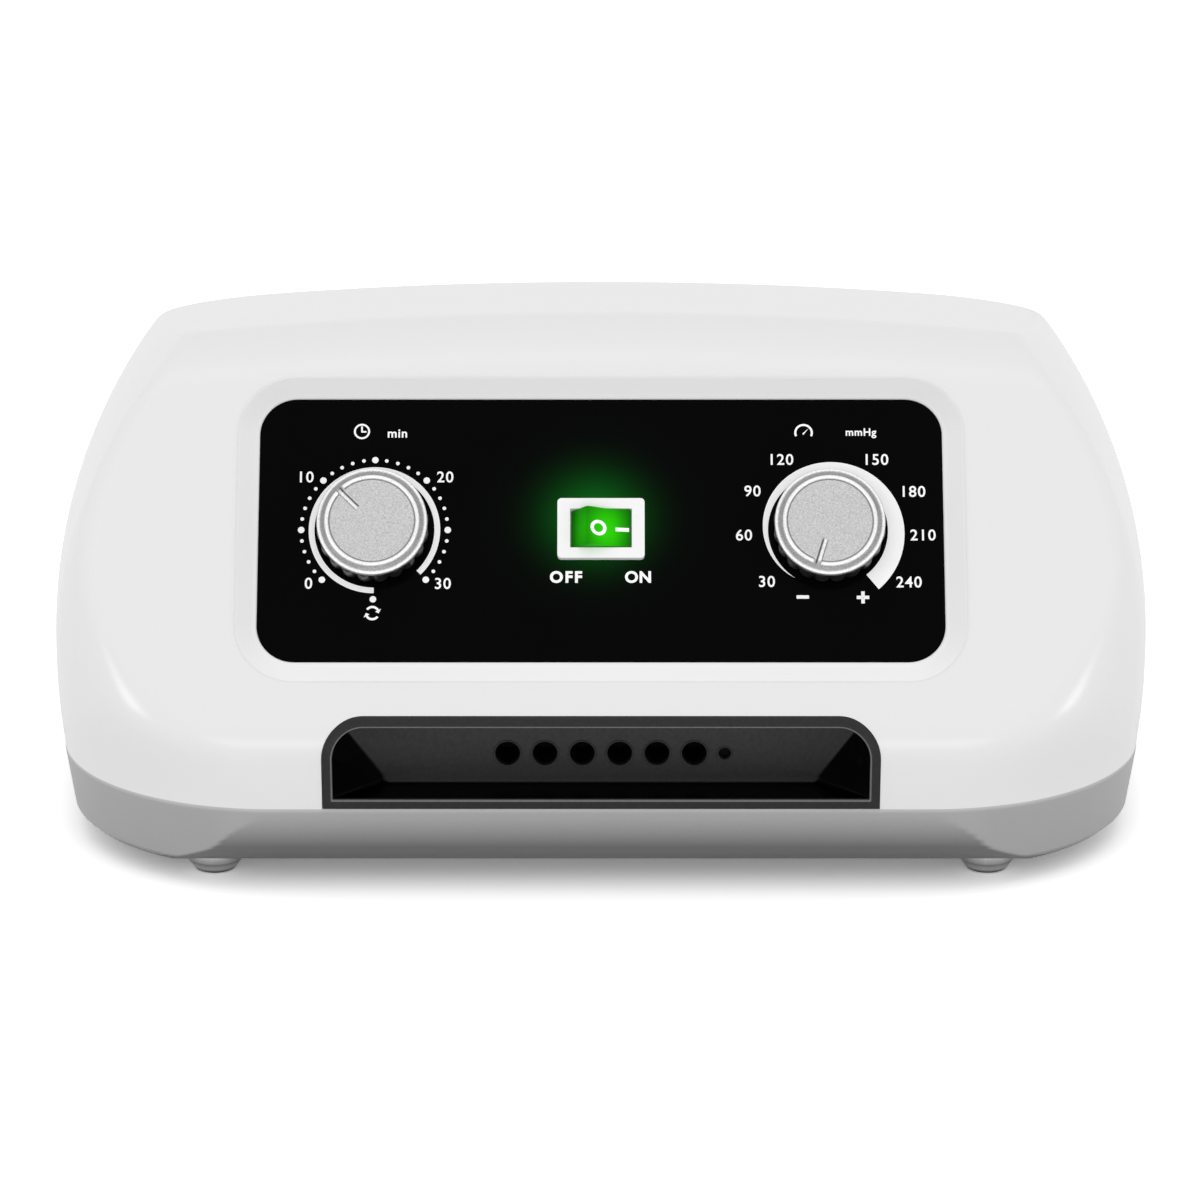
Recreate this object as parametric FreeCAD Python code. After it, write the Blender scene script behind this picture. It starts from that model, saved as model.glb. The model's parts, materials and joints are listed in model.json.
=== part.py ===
import FreeCAD, Part
import math
import os

from FreeCAD import Placement, Rotation, Vector

# Compression therapy pump.  Millimetres, +Z up, front faces -Y, origin on the table under the middle.

# Overall body
BODY_WIDTH = 273.4
BODY_DEPTH = 169.0
FOOT_HEIGHT = 5.0
BASE_HEIGHT = 16.0
SKIN = 2.5

# Plan outline: straight front and rear, bowed sides, round corners
FRONT_CORNER = 56.0
REAR_CORNER = 50.0
SIDE_BOW = 480.0
WIDEST_FROM_FRONT = 97.0
REAR_LEAD = 12.0

# Cover section, heights above the seam
SIDE_LEAN = 97.0
SIDE_FLARE = 260.0
WIDEST_RISE = 28.0
BEND_RISE = 18.4
FACE_TILT = 34.0
CREST_RISE = 107.0
BACK_RISE = 89.2
CREST_BLEND = 24.0
ARCH = 1080.0
CREASE = 5.0
CREASE_ANGLE = 4.0
SEAM_CLEAR = 0.1

# Base tray
TRAY_ROLL = 17.0
TRAY_DRAFT = 10.0
TRAY_EDGE = 6.0
LIP_RISE = 3.0
LIP_WALL = 1.4
FIT_GAP = 0.15
TRIM_PROUD = 0.4

# Fascia and the recess around it
FASCIA_WIDTH = 165.0
FASCIA_HEIGHT = 66.0
FASCIA_CORNER = 9.0
FASCIA_THICK = 1.5
FASCIA_RISE = 62.6
BEVEL_WIDTH = 6.3
BEVEL_DEPTH = 2.0
PAD_THICK = 3.0

# Hose bay
BAY_WIDTH = 133.0
BAY_RISE = 23.6
BAY_RIM = 2.4
BAY_CORNER = 9.7
BAY_DEPTH = 14.5
BAY_SKIN = 2.5
BAY_BACK_TOP = 122.0
BAY_BACK_LOW = 106.0
BAY_BACK_DROP = 3.6
PORT_COUNT = 6
PORT_PITCH = 9.0
PORT_BORE = 6.0
PORT_RISE = 10.4
KEY_BORE = 3.0
KEY_OFFSET = 29.8

# Air manifold behind the ports, with barbs for the tubes
MANIFOLD_DEPTH = 12.0
MANIFOLD_HEIGHT = 13.0
MANIFOLD_EAR = 8.0
PORT_LENGTH = 10.0
BARB_OUTER = 4.6
BARB_BORE = 3.0
BARB_LENGTH = 8.0
TUBE_OUTER = 7.0
SCREW_DIA = 3.0
SCREW_HEAD = 5.6
SCREW_HEAD_HEIGHT = 2.0

# Knobs and what they turn
DIAL_OFFSET = 54.9
KNOB_DIA = 27.0
KNOB_LOBES = 20
KNOB_LOBE = 0.7
KNOB_LOBE_SHARE = 0.7
KNOB_GAP = 0.6
KNOB_BODY_HEIGHT = 5.4
CAP_DIA = 26.4
CAP_HEIGHT = 2.4
CAP_DISC = 21.3
CAP_SINK = 0.4
POINTER_LENGTH = 6.0
POINTER_WIDTH = 1.3
SHAFT_DIA = 6.0
SHAFT_FLAT = 1.5
SHAFT_FIT = 0.05
BUSH_DIA = 9.0
NUT_FLATS = 12.0
NUT_SIDES = 6
NUT_THICK = 2.0
TIMER_SIDE = 40.0
TIMER_DEPTH = 24.0
TIMER_PLATE = 2.0
VALVE_DIA = 24.0
VALVE_DEPTH = 22.0
SHAFT_SEAT = 8.0
TIMER_REST = 135.0
PRESSURE_REST = 253.0

# Rocker switch
BEZEL_WIDTH = 21.0
BEZEL_HEIGHT = 15.0
BEZEL_THICK = 1.8
SWITCH_WIDTH = 19.0
SWITCH_HEIGHT = 13.0
SWITCH_DEPTH = 16.0
ROCKER_SPAN = 14.9
ROCKER_TALL = 9.8
ROCKER_PIVOT = 2.7
ROCKER_CLEAR = 0.25
ROCKER_TILT = 17.5
ROCKER_CROWN = 6.2
ROCKER_CROWN_SHARE = 0.74
ROCKER_WAIST = 1.4
ROCKER_WAIST_SHARE = 0.97
ROCKER_KEEL = 6.0
ROCKER_KEEL_SHARE = 0.6
ROCKER_DISH = 5.55
ROCKER_DISH_SWEEP = 3.0
PIVOT_DIA = 2.0
TERMINAL_WIDTH = 4.8
TERMINAL_THICK = 0.8
TERMINAL_LENGTH = 7.5

# Mains inlet in the rear wall
INLET_FROM_SIDE = 48.7
INLET_RISE = 31.0
INLET_FLANGE_WIDTH = 31.0
INLET_FLANGE_HEIGHT = 24.0
INLET_FLANGE_THICK = 2.5
INLET_BODY_WIDTH = 27.0
INLET_BODY_HEIGHT = 19.8
INLET_BODY_DEPTH = 24.0
INLET_MOUTH_WIDTH = 24.6
INLET_MOUTH_HEIGHT = 17.0
INLET_MOUTH_DEPTH = 18.0
PIN_WIDTH = 4.0
PIN_THICK = 2.0
PIN_LENGTH = 13.0
PIN_PITCH = 14.0
PIN_OFFSET = 4.0
PIN_TAIL = 8.0

# Feet and case screws
FOOT_TOP = 13.5
FOOT_TIP = 10.0
FOOT_FROM_SIDE = 42.7
FOOT_FROM_EDGE = 20.5
FOOT_PEG = 5.0
FOOT_EDGE = 0.6
POST_FROM_SIDE = 32.7
POST_FROM_EDGE = 40.5
POST_DIA = 10.0
POST_BORE = 3.4
POST_SINK = 7.0
POST_SEAT = 5.0
POST_DRIVE = 12.0

# Pump
PUMP_X = 0.0
PUMP_FROM_REAR = 40.5
CHAMBER_WIDTH = 132.0
CHAMBER_DEPTH = 50.0
CHAMBER_HEIGHT = 12.0
CHAMBER_SKIN = 2.0
CHAMBER_BARB_INSET = 4.5
MOUNT_DIA = 12.0
MOUNT_HEIGHT = 5.0
MOUNT_PEG = 5.0
FRAME_THICK = 2.0
FRAME_WIDTH = 80.0
FRAME_DEPTH = 46.0
FRAME_HEIGHT = 42.0
AXIS_RISE = 22.0
DIAPHRAGM_DIA = 34.0
DIAPHRAGM_THICK = 2.5
PISTON_DIA = 16.0
PISTON_THICK = 4.0
PISTON_GAP = 0.5
ROD_WIDTH = 20.0
ROD_THICK = 6.0
MAGNET_WIDTH = 12.0
MAGNET_GAP = 10.0
CORE_WIDTH = 44.0
CORE_DEPTH = 14.0
CORE_GAP = 1.0
CORE_LIMB = 10.0
COIL_SKIN = 7.0
HEAD_DEPTH = 14.0
HEAD_SIDE = 36.0

# Rotary valve that shares the air out to the ports
VALVE_BLOCK_WIDTH = 62.0
VALVE_BLOCK_DEPTH = 40.0
VALVE_BLOCK_HEIGHT = 14.0
VALVE_SHARE = 0.3
ROTOR_DIA = 32.0
ROTOR_HEIGHT = 8.0
ROTOR_GAP = 0.1
ROTOR_SHAFT = 4.0
LID_THICK = 3.0
MOTOR_DIA = 38.0
MOTOR_LEG = 5.0

# Control board
BOARD_WIDTH = 60.0
BOARD_DEPTH = 40.0
BOARD_THICK = 1.6
BOARD_FROM_SIDE = 40.7
BOARD_Y = -2.0
BOARD_POST_DIA = 5.0
BOARD_STANDOFF = 6.0
CHOKE_WIDTH = 15.0
CHOKE_DEPTH = 10.0
CHOKE_HEIGHT = 10.0
FUSE_DIA = 5.0
FUSE_LENGTH = 20.0

# Vents
VENT_COUNT = 9
VENT_PITCH = 7.0
VENT_WIDTH = 2.4
VENT_RISE = 30.0
VENT_FROM_SIDE = 76.7
VENT_LIFT = 31.0
FLOOR_VENT_LENGTH = 40.0

# Tubes
TUBE_BEND_SHARE = 0.45

# Worked out from the sizes above
SEAM = FOOT_HEIGHT + BASE_HEIGHT
FLOOR = FOOT_HEIGHT + SKIN
FRONT = -BODY_DEPTH / 2
REAR = BODY_DEPTH / 2
WIDE_Y = FRONT + WIDEST_FROM_FRONT
WIDE_Z = SEAM + WIDEST_RISE
FACE_SIN = math.sin(math.radians(FACE_TILT))
FACE_COS = math.cos(math.radians(FACE_TILT))
FASCIA_FACE_Y = FRONT + (FASCIA_RISE - BEND_RISE) * FACE_SIN / FACE_COS
SEAM_INSET = SIDE_FLARE - math.sqrt(SIDE_FLARE ** 2 - WIDEST_RISE ** 2)
FASCIA_ORIGIN = Vector(
    0,
    FASCIA_FACE_Y + BEVEL_DEPTH * FACE_COS,
    SEAM + FASCIA_RISE - BEVEL_DEPTH * FACE_SIN,
)
PANEL = Placement(FASCIA_ORIGIN, Rotation(Vector(1, 0, 0), 90 - FACE_TILT))
PANEL_BACK = -FASCIA_THICK - PAD_THICK
FOOT_X = BODY_WIDTH / 2 - FOOT_FROM_SIDE
FOOT_Y = BODY_DEPTH / 2 - FOOT_FROM_EDGE
POST_X = BODY_WIDTH / 2 - POST_FROM_SIDE
POST_Y = BODY_DEPTH / 2 - POST_FROM_EDGE
INLET_X = INLET_FROM_SIDE - BODY_WIDTH / 2
INLET_Z = SEAM + INLET_RISE
VENT_X = BODY_WIDTH / 2 - VENT_FROM_SIDE
VENT_Z = SEAM + VENT_LIFT
BOARD_X = BOARD_FROM_SIDE - BODY_WIDTH / 2
PUMP_Y = REAR - PUMP_FROM_REAR
BAY_REAR = FRONT + BAY_DEPTH + BAY_SKIN
PORT_Z = SEAM + PORT_RISE
MANIFOLD_REAR = BAY_REAR + MANIFOLD_DEPTH
CHAMBER_FLOOR = FLOOR + MOUNT_HEIGHT
CHAMBER_TOP = CHAMBER_FLOOR + CHAMBER_HEIGHT
AXIS_Z = CHAMBER_TOP + AXIS_RISE
CORE_HEIGHT = 2 * (AXIS_RISE - FRAME_THICK)
CORE_SLOT = (CORE_WIDTH - 3 * CORE_LIMB) / 2
CORE_SLOT_DEPTH = CORE_DEPTH - CORE_LIMB / 2
CHAMBER_BARB_X = CHAMBER_WIDTH / 2 - CHAMBER_BARB_INSET
CHAMBER_BARB_Y = PUMP_Y - CHAMBER_DEPTH / 2 + CHAMBER_BARB_INSET
VALVE_ROOM = PUMP_Y - CHAMBER_DEPTH / 2 - MANIFOLD_REAR - 2 * BARB_LENGTH - VALVE_BLOCK_DEPTH
VALVE_FRONT = MANIFOLD_REAR + 2 * BARB_LENGTH + VALVE_SHARE * VALVE_ROOM
VALVE_Y = VALVE_FRONT + VALVE_BLOCK_DEPTH / 2
VALVE_BASE = PORT_Z - VALVE_BLOCK_HEIGHT / 2
VALVE_TOP = PORT_Z + VALVE_BLOCK_HEIGHT / 2
BIG = 400.0
HALF_TURN = 180.0
OVERRUN = 1.0
UP = Vector(0, 0, 1)
BACK = Vector(0, 1, 0)


def box(width, depth, height, x, y, z):
    """Box centred on x and y that stands on z."""
    return Part.makeBox(width, depth, height, Vector(x - width / 2, y - depth / 2, z))


def rod(diameter, length, start, direction):
    return Part.makeCylinder(diameter / 2, length, start, direction)


def ring(outer, inner, length, start, direction):
    return rod(outer, length, start, direction).cut(rod(inner, length, start, direction))


def only_solid(shape):
    return max(shape.Solids, key=lambda solid: solid.Volume)


def joined(shapes):
    first = shapes[0]
    if len(shapes) == 1:
        return first
    return first.fuse(shapes[1:]).removeSplitter()


def rounded_rectangle(width, height, corner, level):
    """Closed wire in a plane of constant local height, centred on the origin."""
    w = width / 2
    h = height / 2
    diagonal = corner * (1 - math.sqrt(0.5))
    edges = []
    for sx, sy in ((1, 1), (-1, 1), (-1, -1), (1, -1)):
        start = Vector(sx * w, sy * (h - corner), level)
        middle = Vector(sx * (w - diagonal), sy * (h - diagonal), level)
        end = Vector(sx * (w - corner), sy * h, level)
        points = (start, middle, end) if sx == sy else (end, middle, start)
        edges.append(Part.Arc(*points).toShape())
    sides = []
    for this, following in zip(edges, edges[1:] + edges[:1]):
        sides.append(this)
        sides.append(Part.LineSegment(this.valueAt(this.LastParameter),
                                      following.valueAt(following.FirstParameter)).toShape())
    return Part.Wire(sides)


def rounded_plate(width, height, corner, bottom, top):
    plate = Part.Face(rounded_rectangle(width, height, corner, bottom))
    return plate.extrude(Vector(0, 0, top - bottom))


def on_panel(shape):
    """Moves a shape from panel coordinates (x, up the panel, outwards) to its place."""
    placed = shape.copy()
    placed.Placement = PANEL.multiply(placed.Placement)
    return placed


# Outer form ------------------------------------------------------------------

def plan_outline(inset, level):
    """Plan outline of tangent arcs, moved inwards by inset."""
    bow_x = BODY_WIDTH / 2 - SIDE_BOW
    front_y = FRONT + FRONT_CORNER
    rear_y = REAR + REAR_LEAD - REAR_CORNER
    front_x = bow_x + math.sqrt((SIDE_BOW - FRONT_CORNER) ** 2 - (front_y - WIDE_Y) ** 2)
    rear_x = bow_x + math.sqrt((SIDE_BOW - REAR_CORNER) ** 2 - (rear_y - WIDE_Y) ** 2)
    front_angle = math.atan2(front_y - WIDE_Y, front_x - bow_x)
    rear_angle = math.atan2(rear_y - WIDE_Y, rear_x - bow_x)
    quarter = math.pi / 2

    def arc(x, y, radius, first, last):
        points = []
        for angle in (first, (first + last) / 2, last):
            reach = radius - inset
            points.append(Vector(x + reach * math.cos(angle), y + reach * math.sin(angle), level))
        return points

    right = [
        arc(front_x, front_y, FRONT_CORNER, -quarter, front_angle),
        arc(bow_x, WIDE_Y, SIDE_BOW, front_angle, rear_angle),
        arc(rear_x, rear_y, REAR_CORNER, rear_angle, quarter),
    ]
    left = [[Vector(-p.x, p.y, p.z) for p in reversed(points)] for points in reversed(right)]
    edges = [Part.LineSegment(left[-1][-1], right[0][0]).toShape()]
    edges += [Part.Arc(*points).toShape() for points in right]
    edges.append(Part.LineSegment(right[-1][-1], left[0][0]).toShape())
    edges += [Part.Arc(*points).toShape() for points in left]
    return Part.Wire(edges)


def swept_round_outline(curve_edges):
    """Solid whose wall follows curve_edges, points of (inset, level), all round the plan outline."""
    path = plan_outline(0, 0)
    start_x = path.OrderedEdges[0].valueAt(path.OrderedEdges[0].FirstParameter).x

    def at(point):
        return Vector(start_x, FRONT + point[0], point[1])

    edges = []
    for points in curve_edges:
        if len(points) == 2:
            edges.append(Part.LineSegment(at(points[0]), at(points[1])).toShape())
        else:
            edges.append(Part.Arc(at(points[0]), at(points[1]), at(points[2])).toShape())
    wall = path.makePipeShell([Part.Wire(edges)], False, False)
    ends = (curve_edges[0][0], curve_edges[-1][-1])
    caps = [Part.Face(plan_outline(inset, level)) for inset, level in ends]
    skin = Part.makeCompound(wall.Faces + caps)
    skin.sewShape()
    body = Part.Solid(skin.Shells[0])
    if body.Volume < 0:
        body.reverse()
    return body


def dome(inset):
    """Side walls that bow outwards to WIDE_Z and lean in above it."""
    low = SEAM - LIP_RISE * 2
    high = SEAM + CREST_RISE

    def wall(bow, level):
        return (bow - math.sqrt((bow - inset) ** 2 - (level - WIDE_Z) ** 2), level)

    flare = [wall(SIDE_FLARE, level) for level in (low, (low + WIDE_Z) / 2, WIDE_Z)]
    lean = [wall(SIDE_LEAN, level) for level in (WIDE_Z, (WIDE_Z + high) / 2, high)]
    curve = [flare, lean]
    return swept_round_outline(curve)


def crossing(p, d, q, e):
    """Point where line p along d meets line q along e, in the YZ plane."""
    spread = e[0] * d[1] - d[0] * e[1]
    reach = (e[0] * (q[1] - p[1]) - e[1] * (q[0] - p[0])) / spread
    return (p[0] + reach * d[0], p[1] + reach * d[1])


def side_section(inset):
    """Sloping face and rear wall as one closed YZ outline, open ahead of the skirt and above the crest."""
    face = (FRONT + inset * FACE_COS, SEAM + BEND_RISE - inset * FACE_SIN)
    face_along = (FACE_SIN, FACE_COS)
    low = SEAM - LIP_RISE * 2
    high = SEAM + CREST_RISE * 2
    corners = [
        crossing(face, face_along, (0, low), (1, 0)),
        crossing(face, face_along, (0, high), (1, 0)),
        (REAR - inset, high),
        (REAR - inset, low),
    ]
    points = [Vector(-BODY_WIDTH, y, z) for y, z in corners]
    return Part.Face(Part.makePolygon(points + points[:1]))


def slab(inset):
    """Everything behind the sloping face, ahead of the rear wall and under the arched top."""
    body = side_section(inset).extrude(Vector(BODY_WIDTH * 2, 0, 0))
    crest_y = FRONT + (CREST_RISE - BEND_RISE) * FACE_SIN / FACE_COS
    slope = Vector(0, REAR - crest_y, BACK_RISE - CREST_RISE).normalize()
    up = Vector(0, -slope.z, slope.y)
    axis_start = Vector(0, crest_y, SEAM + CREST_RISE) - up * ARCH - slope * BODY_DEPTH
    arch = Part.makeCylinder(ARCH - inset, BODY_DEPTH * 3, axis_start, slope)
    arch.rotate(axis_start, slope, HALF_TURN)
    body = only_solid(body.common(arch))
    curved = [edge for edge in body.Edges if isinstance(edge.Curve, Part.Ellipse)]
    crest = [edge for edge in curved if edge.valueAt(edge.FirstParameter).y < crest_y + BODY_DEPTH / 4]
    return only_solid(body.makeFillet(CREST_BLEND - inset, crest))


def sharp_edges(shape, least_angle):
    found = []
    for edge in shape.Edges:
        faces = shape.ancestorsOfType(edge, Part.Face)
        if len(faces) < 2:
            continue
        middle = edge.valueAt((edge.FirstParameter + edge.LastParameter) / 2)
        normals = [face.normalAt(*face.Surface.parameter(middle)) for face in faces[:2]]
        if math.degrees(normals[0].getAngle(normals[1])) > least_angle:
            found.append(edge)
    return found


def outer_form():
    """Whole outer form above the seam, with its creases rounded."""
    upper = Part.makeBox(BIG, BIG, BIG, Vector(-BIG / 2, -BIG / 2, SEAM))
    form = only_solid(dome(0).common(slab(0)).common(upper))
    creases = []
    for edge in sharp_edges(form, CREASE_ANGLE):
        middle = edge.valueAt((edge.FirstParameter + edge.LastParameter) / 2)
        if middle.z > SEAM + SEAM_CLEAR:
            creases.append(edge)
    return only_solid(form.makeFillet(CREASE, creases))


def inner_form(inset):
    return only_solid(dome(inset).common(slab(inset)))


# Cover, base and feet --------------------------------------------------------

def recess_tool():
    """Bevel around the fascia, down to the pocket that the fascia lies in."""
    outer = rounded_rectangle(FASCIA_WIDTH + 4 * BEVEL_WIDTH, FASCIA_HEIGHT + 4 * BEVEL_WIDTH,
                              FASCIA_CORNER + 2 * BEVEL_WIDTH, BEVEL_DEPTH * 2)
    inner = rounded_rectangle(FASCIA_WIDTH + FIT_GAP * 2, FASCIA_HEIGHT + FIT_GAP * 2,
                              FASCIA_CORNER + FIT_GAP, 0)
    bevel = Part.makeLoft([inner, outer], True, True)
    pocket = rounded_plate(FASCIA_WIDTH + FIT_GAP * 2, FASCIA_HEIGHT + FIT_GAP * 2,
                           FASCIA_CORNER + FIT_GAP, -FASCIA_THICK, 0)
    return on_panel(bevel.fuse(pocket))


def panel_pad():
    """Thick pad behind the recess that carries the fascia, dials and switch."""
    return on_panel(rounded_plate(FASCIA_WIDTH + 2 * BEVEL_WIDTH + 2 * SKIN,
                                  FASCIA_HEIGHT + 2 * BEVEL_WIDTH + SKIN,
                                  FASCIA_CORNER + BEVEL_WIDTH, PANEL_BACK, BEVEL_DEPTH))


def panel_holes():
    """Holes for both bushes and the switch body, right through the fascia and its pad."""
    bottom = PANEL_BACK - OVERRUN
    length = OVERRUN - bottom
    tools = []
    for side in (-1, 1):
        start = Vector(dial_x(side), 0, bottom)
        tools.append(rod(BUSH_DIA + 2 * FIT_GAP, length, start, UP))
    tools.append(box(SWITCH_WIDTH + 2 * FIT_GAP, SWITCH_HEIGHT + 2 * FIT_GAP, length, 0, 0, bottom))
    return [on_panel(tool) for tool in tools]


def bay_prism(grow, rear):
    """Outline of the bay in the front wall: square at the seam, round at the top."""
    half = BAY_WIDTH / 2 + grow
    top = SEAM + BAY_RISE + grow
    corner = BAY_CORNER + grow
    diagonal = corner * (1 - math.sqrt(0.5))
    start = FRONT - BAY_DEPTH

    def at(x, z):
        return Vector(x, start, z)

    right_arc = Part.Arc(at(half, top - corner), at(half - diagonal, top - diagonal), at(half - corner, top))
    left_arc = Part.Arc(at(corner - half, top), at(diagonal - half, top - diagonal), at(-half, top - corner))
    edges = [
        Part.LineSegment(at(-half, SEAM), at(half, SEAM)).toShape(),
        Part.LineSegment(at(half, SEAM), at(half, top - corner)).toShape(),
        right_arc.toShape(),
        Part.LineSegment(at(half - corner, top), at(corner - half, top)).toShape(),
        left_arc.toShape(),
        Part.LineSegment(at(-half, top - corner), at(-half, SEAM)).toShape(),
    ]
    return Part.Face(Part.Wire(edges)).extrude(Vector(0, rear - start, 0))


def post_places():
    return [(x, y) for x in (-POST_X, POST_X) for y in (-POST_Y, POST_Y)]


def inlet_land():
    """Flat seat of the inlet flange, sunk into the rear wall."""
    return REAR + TRIM_PROUD - INLET_FLANGE_THICK


def vent_slots():
    slots = []
    first = VENT_X - (VENT_COUNT - 1) * VENT_PITCH / 2
    for index in range(VENT_COUNT):
        x = first + index * VENT_PITCH
        slots.append(box(VENT_WIDTH, SKIN * 4, VENT_RISE, x, REAR, VENT_Z - VENT_RISE / 2))
    return slots


def top_cover():
    outer = outer_form()
    shell = outer.cut(inner_form(SKIN))
    additions = [panel_pad()]
    for x, y in post_places():
        additions.append(rod(POST_DIA, BIG, Vector(x, y, SEAM), UP))
    additions.append(box(INLET_FLANGE_WIDTH + 2 * SKIN, 2 * SKIN + INLET_FLANGE_THICK,
                         INLET_FLANGE_HEIGHT + 2 * SKIN, INLET_X, REAR - SKIN - INLET_FLANGE_THICK / 2,
                         INLET_Z - INLET_FLANGE_HEIGHT / 2 - SKIN))
    for addition in additions:
        shell = shell.fuse(addition.common(outer))
    shell = shell.cut(recess_tool())
    for tool in panel_holes():
        shell = shell.cut(tool)
    shell = shell.cut(bay_prism(FIT_GAP, BAY_REAR + SKIN))
    for x, y in post_places():
        shell = shell.cut(rod(SCREW_DIA, POST_DRIVE, Vector(x, y, SEAM), UP))
    shell = shell.cut(box(INLET_FLANGE_WIDTH + FIT_GAP * 2, INLET_FLANGE_THICK * 2,
                          INLET_FLANGE_HEIGHT + FIT_GAP * 2, INLET_X, inlet_land() + INLET_FLANGE_THICK,
                          INLET_Z - INLET_FLANGE_HEIGHT / 2 - FIT_GAP))
    shell = shell.cut(box(INLET_BODY_WIDTH + FIT_GAP * 2, INLET_BODY_DEPTH,
                          INLET_BODY_HEIGHT + FIT_GAP * 2, INLET_X, REAR,
                          INLET_Z - INLET_BODY_HEIGHT / 2 - FIT_GAP))
    for slot in vent_slots():
        shell = shell.cut(slot)
    return only_solid(shell.removeSplitter())


def tray_form(inset):
    """Tray body: drafted, round-edged walls between a rolled front and a rolled rear."""
    bottom = FOOT_HEIGHT + inset
    draft = math.tan(math.radians(TRAY_DRAFT))
    bottom_inset = SEAM_INSET + BASE_HEIGHT * draft
    edge = TRAY_EDGE
    turn = math.radians(90 - TRAY_DRAFT)
    tangent = edge * math.tan(turn / 2)
    along = (-math.sin(math.radians(TRAY_DRAFT)), math.cos(math.radians(TRAY_DRAFT)))
    lift = inset / math.cos(math.radians(TRAY_DRAFT))
    foot = (bottom_inset + lift - inset * draft, bottom)
    arc_end = (foot[0] + along[0] * tangent, foot[1] + along[1] * tangent)
    arc_start = (foot[0] + tangent, bottom)
    centre = (arc_start[0], bottom + edge)
    away = math.hypot(foot[0] - centre[0], foot[1] - centre[1])
    middle = (centre[0] + (foot[0] - centre[0]) * edge / away,
              centre[1] + (foot[1] - centre[1]) * edge / away)
    top = (SEAM_INSET + lift, SEAM)
    curve = [[arc_start, middle, arc_end], [arc_end, top]]
    body = swept_round_outline(curve)
    return only_solid(body.common(tray_section(inset)))


def tray_section(inset):
    """Front-to-rear section of the tray, rolled under at both ends."""
    bottom = FOOT_HEIGHT + inset
    radius = TRAY_ROLL - inset
    reach = math.sqrt(radius ** 2 - (SEAM - bottom) ** 2)
    half = math.atan2(SEAM - bottom, reach) / 2
    side = BODY_DEPTH / 2 - SEAM_INSET - TRAY_ROLL

    def at(y, z):
        return Vector(-BODY_WIDTH, y, z)

    edges = []
    for sign in (-1, 1):
        edges.append(Part.Arc(at(sign * (side + radius), SEAM),
                              at(sign * (side + radius * math.cos(half)), SEAM - radius * math.sin(half)),
                              at(sign * (side + reach), bottom)).toShape())
    edges.append(Part.LineSegment(at(-side - reach, bottom), at(side + reach, bottom)).toShape())
    edges.append(Part.LineSegment(at(-side - radius, SEAM), at(side + radius, SEAM)).toShape())
    return Part.Face(Part.Wire(Part.__sortEdges__(edges))).extrude(Vector(BODY_WIDTH * 2, 0, 0))


def foot_places():
    return {
        "front_left_foot": (-FOOT_X, -FOOT_Y),
        "front_right_foot": (FOOT_X, -FOOT_Y),
        "rear_left_foot": (-FOOT_X, FOOT_Y),
        "rear_right_foot": (FOOT_X, FOOT_Y),
    }


def mount_places():
    reach_x = CHAMBER_WIDTH / 2 - MOUNT_DIA
    reach_y = CHAMBER_DEPTH / 2 - MOUNT_DIA / 2 - CHAMBER_SKIN
    return [(PUMP_X + x, PUMP_Y + y) for x in (-reach_x, reach_x) for y in (-reach_y, reach_y)]


def board_posts():
    reach_x = BOARD_WIDTH / 2 - BOARD_POST_DIA
    reach_y = BOARD_DEPTH / 2 - BOARD_POST_DIA
    return [(BOARD_X + x, BOARD_Y + y) for x in (-reach_x, reach_x) for y in (-reach_y, reach_y)]


def locating_lip():
    """Rim on the tray that the cover drops over."""
    outer = inner_form(SKIN + FIT_GAP)
    inner = inner_form(SKIN + FIT_GAP + LIP_WALL)
    band = Part.makeBox(BIG, BIG, LIP_RISE * 2, Vector(-BIG / 2, -BIG / 2, SEAM - LIP_RISE))
    lip = outer.cut(inner).common(band)
    return lip.cut(bay_prism(FIT_GAP + LIP_WALL, BAY_REAR + SKIN))


def base_tray():
    outer = tray_form(0)
    shell = outer.cut(tray_form(SKIN))
    ledge = locating_lip()
    root = Part.makeBox(BIG, BIG, LIP_RISE, Vector(-BIG / 2, -BIG / 2, SEAM - LIP_RISE))
    shell = shell.fuse(outer.cut(inner_form(SKIN + FIT_GAP + LIP_WALL)).common(root))
    shell = shell.fuse(ledge)
    for x, y in post_places():
        shell = shell.fuse(rod(POST_DIA, SEAM - FLOOR, Vector(x, y, FLOOR), UP))
    for x, y in board_posts():
        shell = shell.fuse(rod(BOARD_POST_DIA, BOARD_STANDOFF, Vector(x, y, FLOOR), UP))
    for x, y in post_places():
        shell = shell.cut(rod(POST_BORE, BIG, Vector(x, y, 0), UP))
        shell = shell.cut(rod(POST_SINK, FOOT_HEIGHT + POST_SEAT, Vector(x, y, 0), UP))
    for x, y in foot_places().values():
        shell = shell.cut(rod(FOOT_PEG, SKIN * 2, Vector(x, y, FOOT_HEIGHT - SKIN), UP))
    for x, y in mount_places():
        shell = shell.cut(rod(MOUNT_PEG, SKIN * 2, Vector(x, y, FOOT_HEIGHT - SKIN), UP))
    first = -(VENT_COUNT - 1) * VENT_PITCH / 2
    for index in range(VENT_COUNT):
        x = first + index * VENT_PITCH
        shell = shell.cut(box(VENT_WIDTH, FLOOR_VENT_LENGTH, SKIN * 2, x, 0, FOOT_HEIGHT - SKIN / 2))
    return only_solid(shell.removeSplitter())


def foot(x, y):
    cone = Part.makeCone(FOOT_TIP / 2, FOOT_TOP / 2, FOOT_HEIGHT, Vector(x, y, 0), UP)
    tip = [edge for edge in cone.Edges if edge.BoundBox.ZMax < FOOT_EDGE]
    cone = cone.makeFillet(FOOT_EDGE, tip)
    peg = rod(FOOT_PEG, SKIN, Vector(x, y, FOOT_HEIGHT), UP)
    return joined([only_solid(cone), peg])


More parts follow.
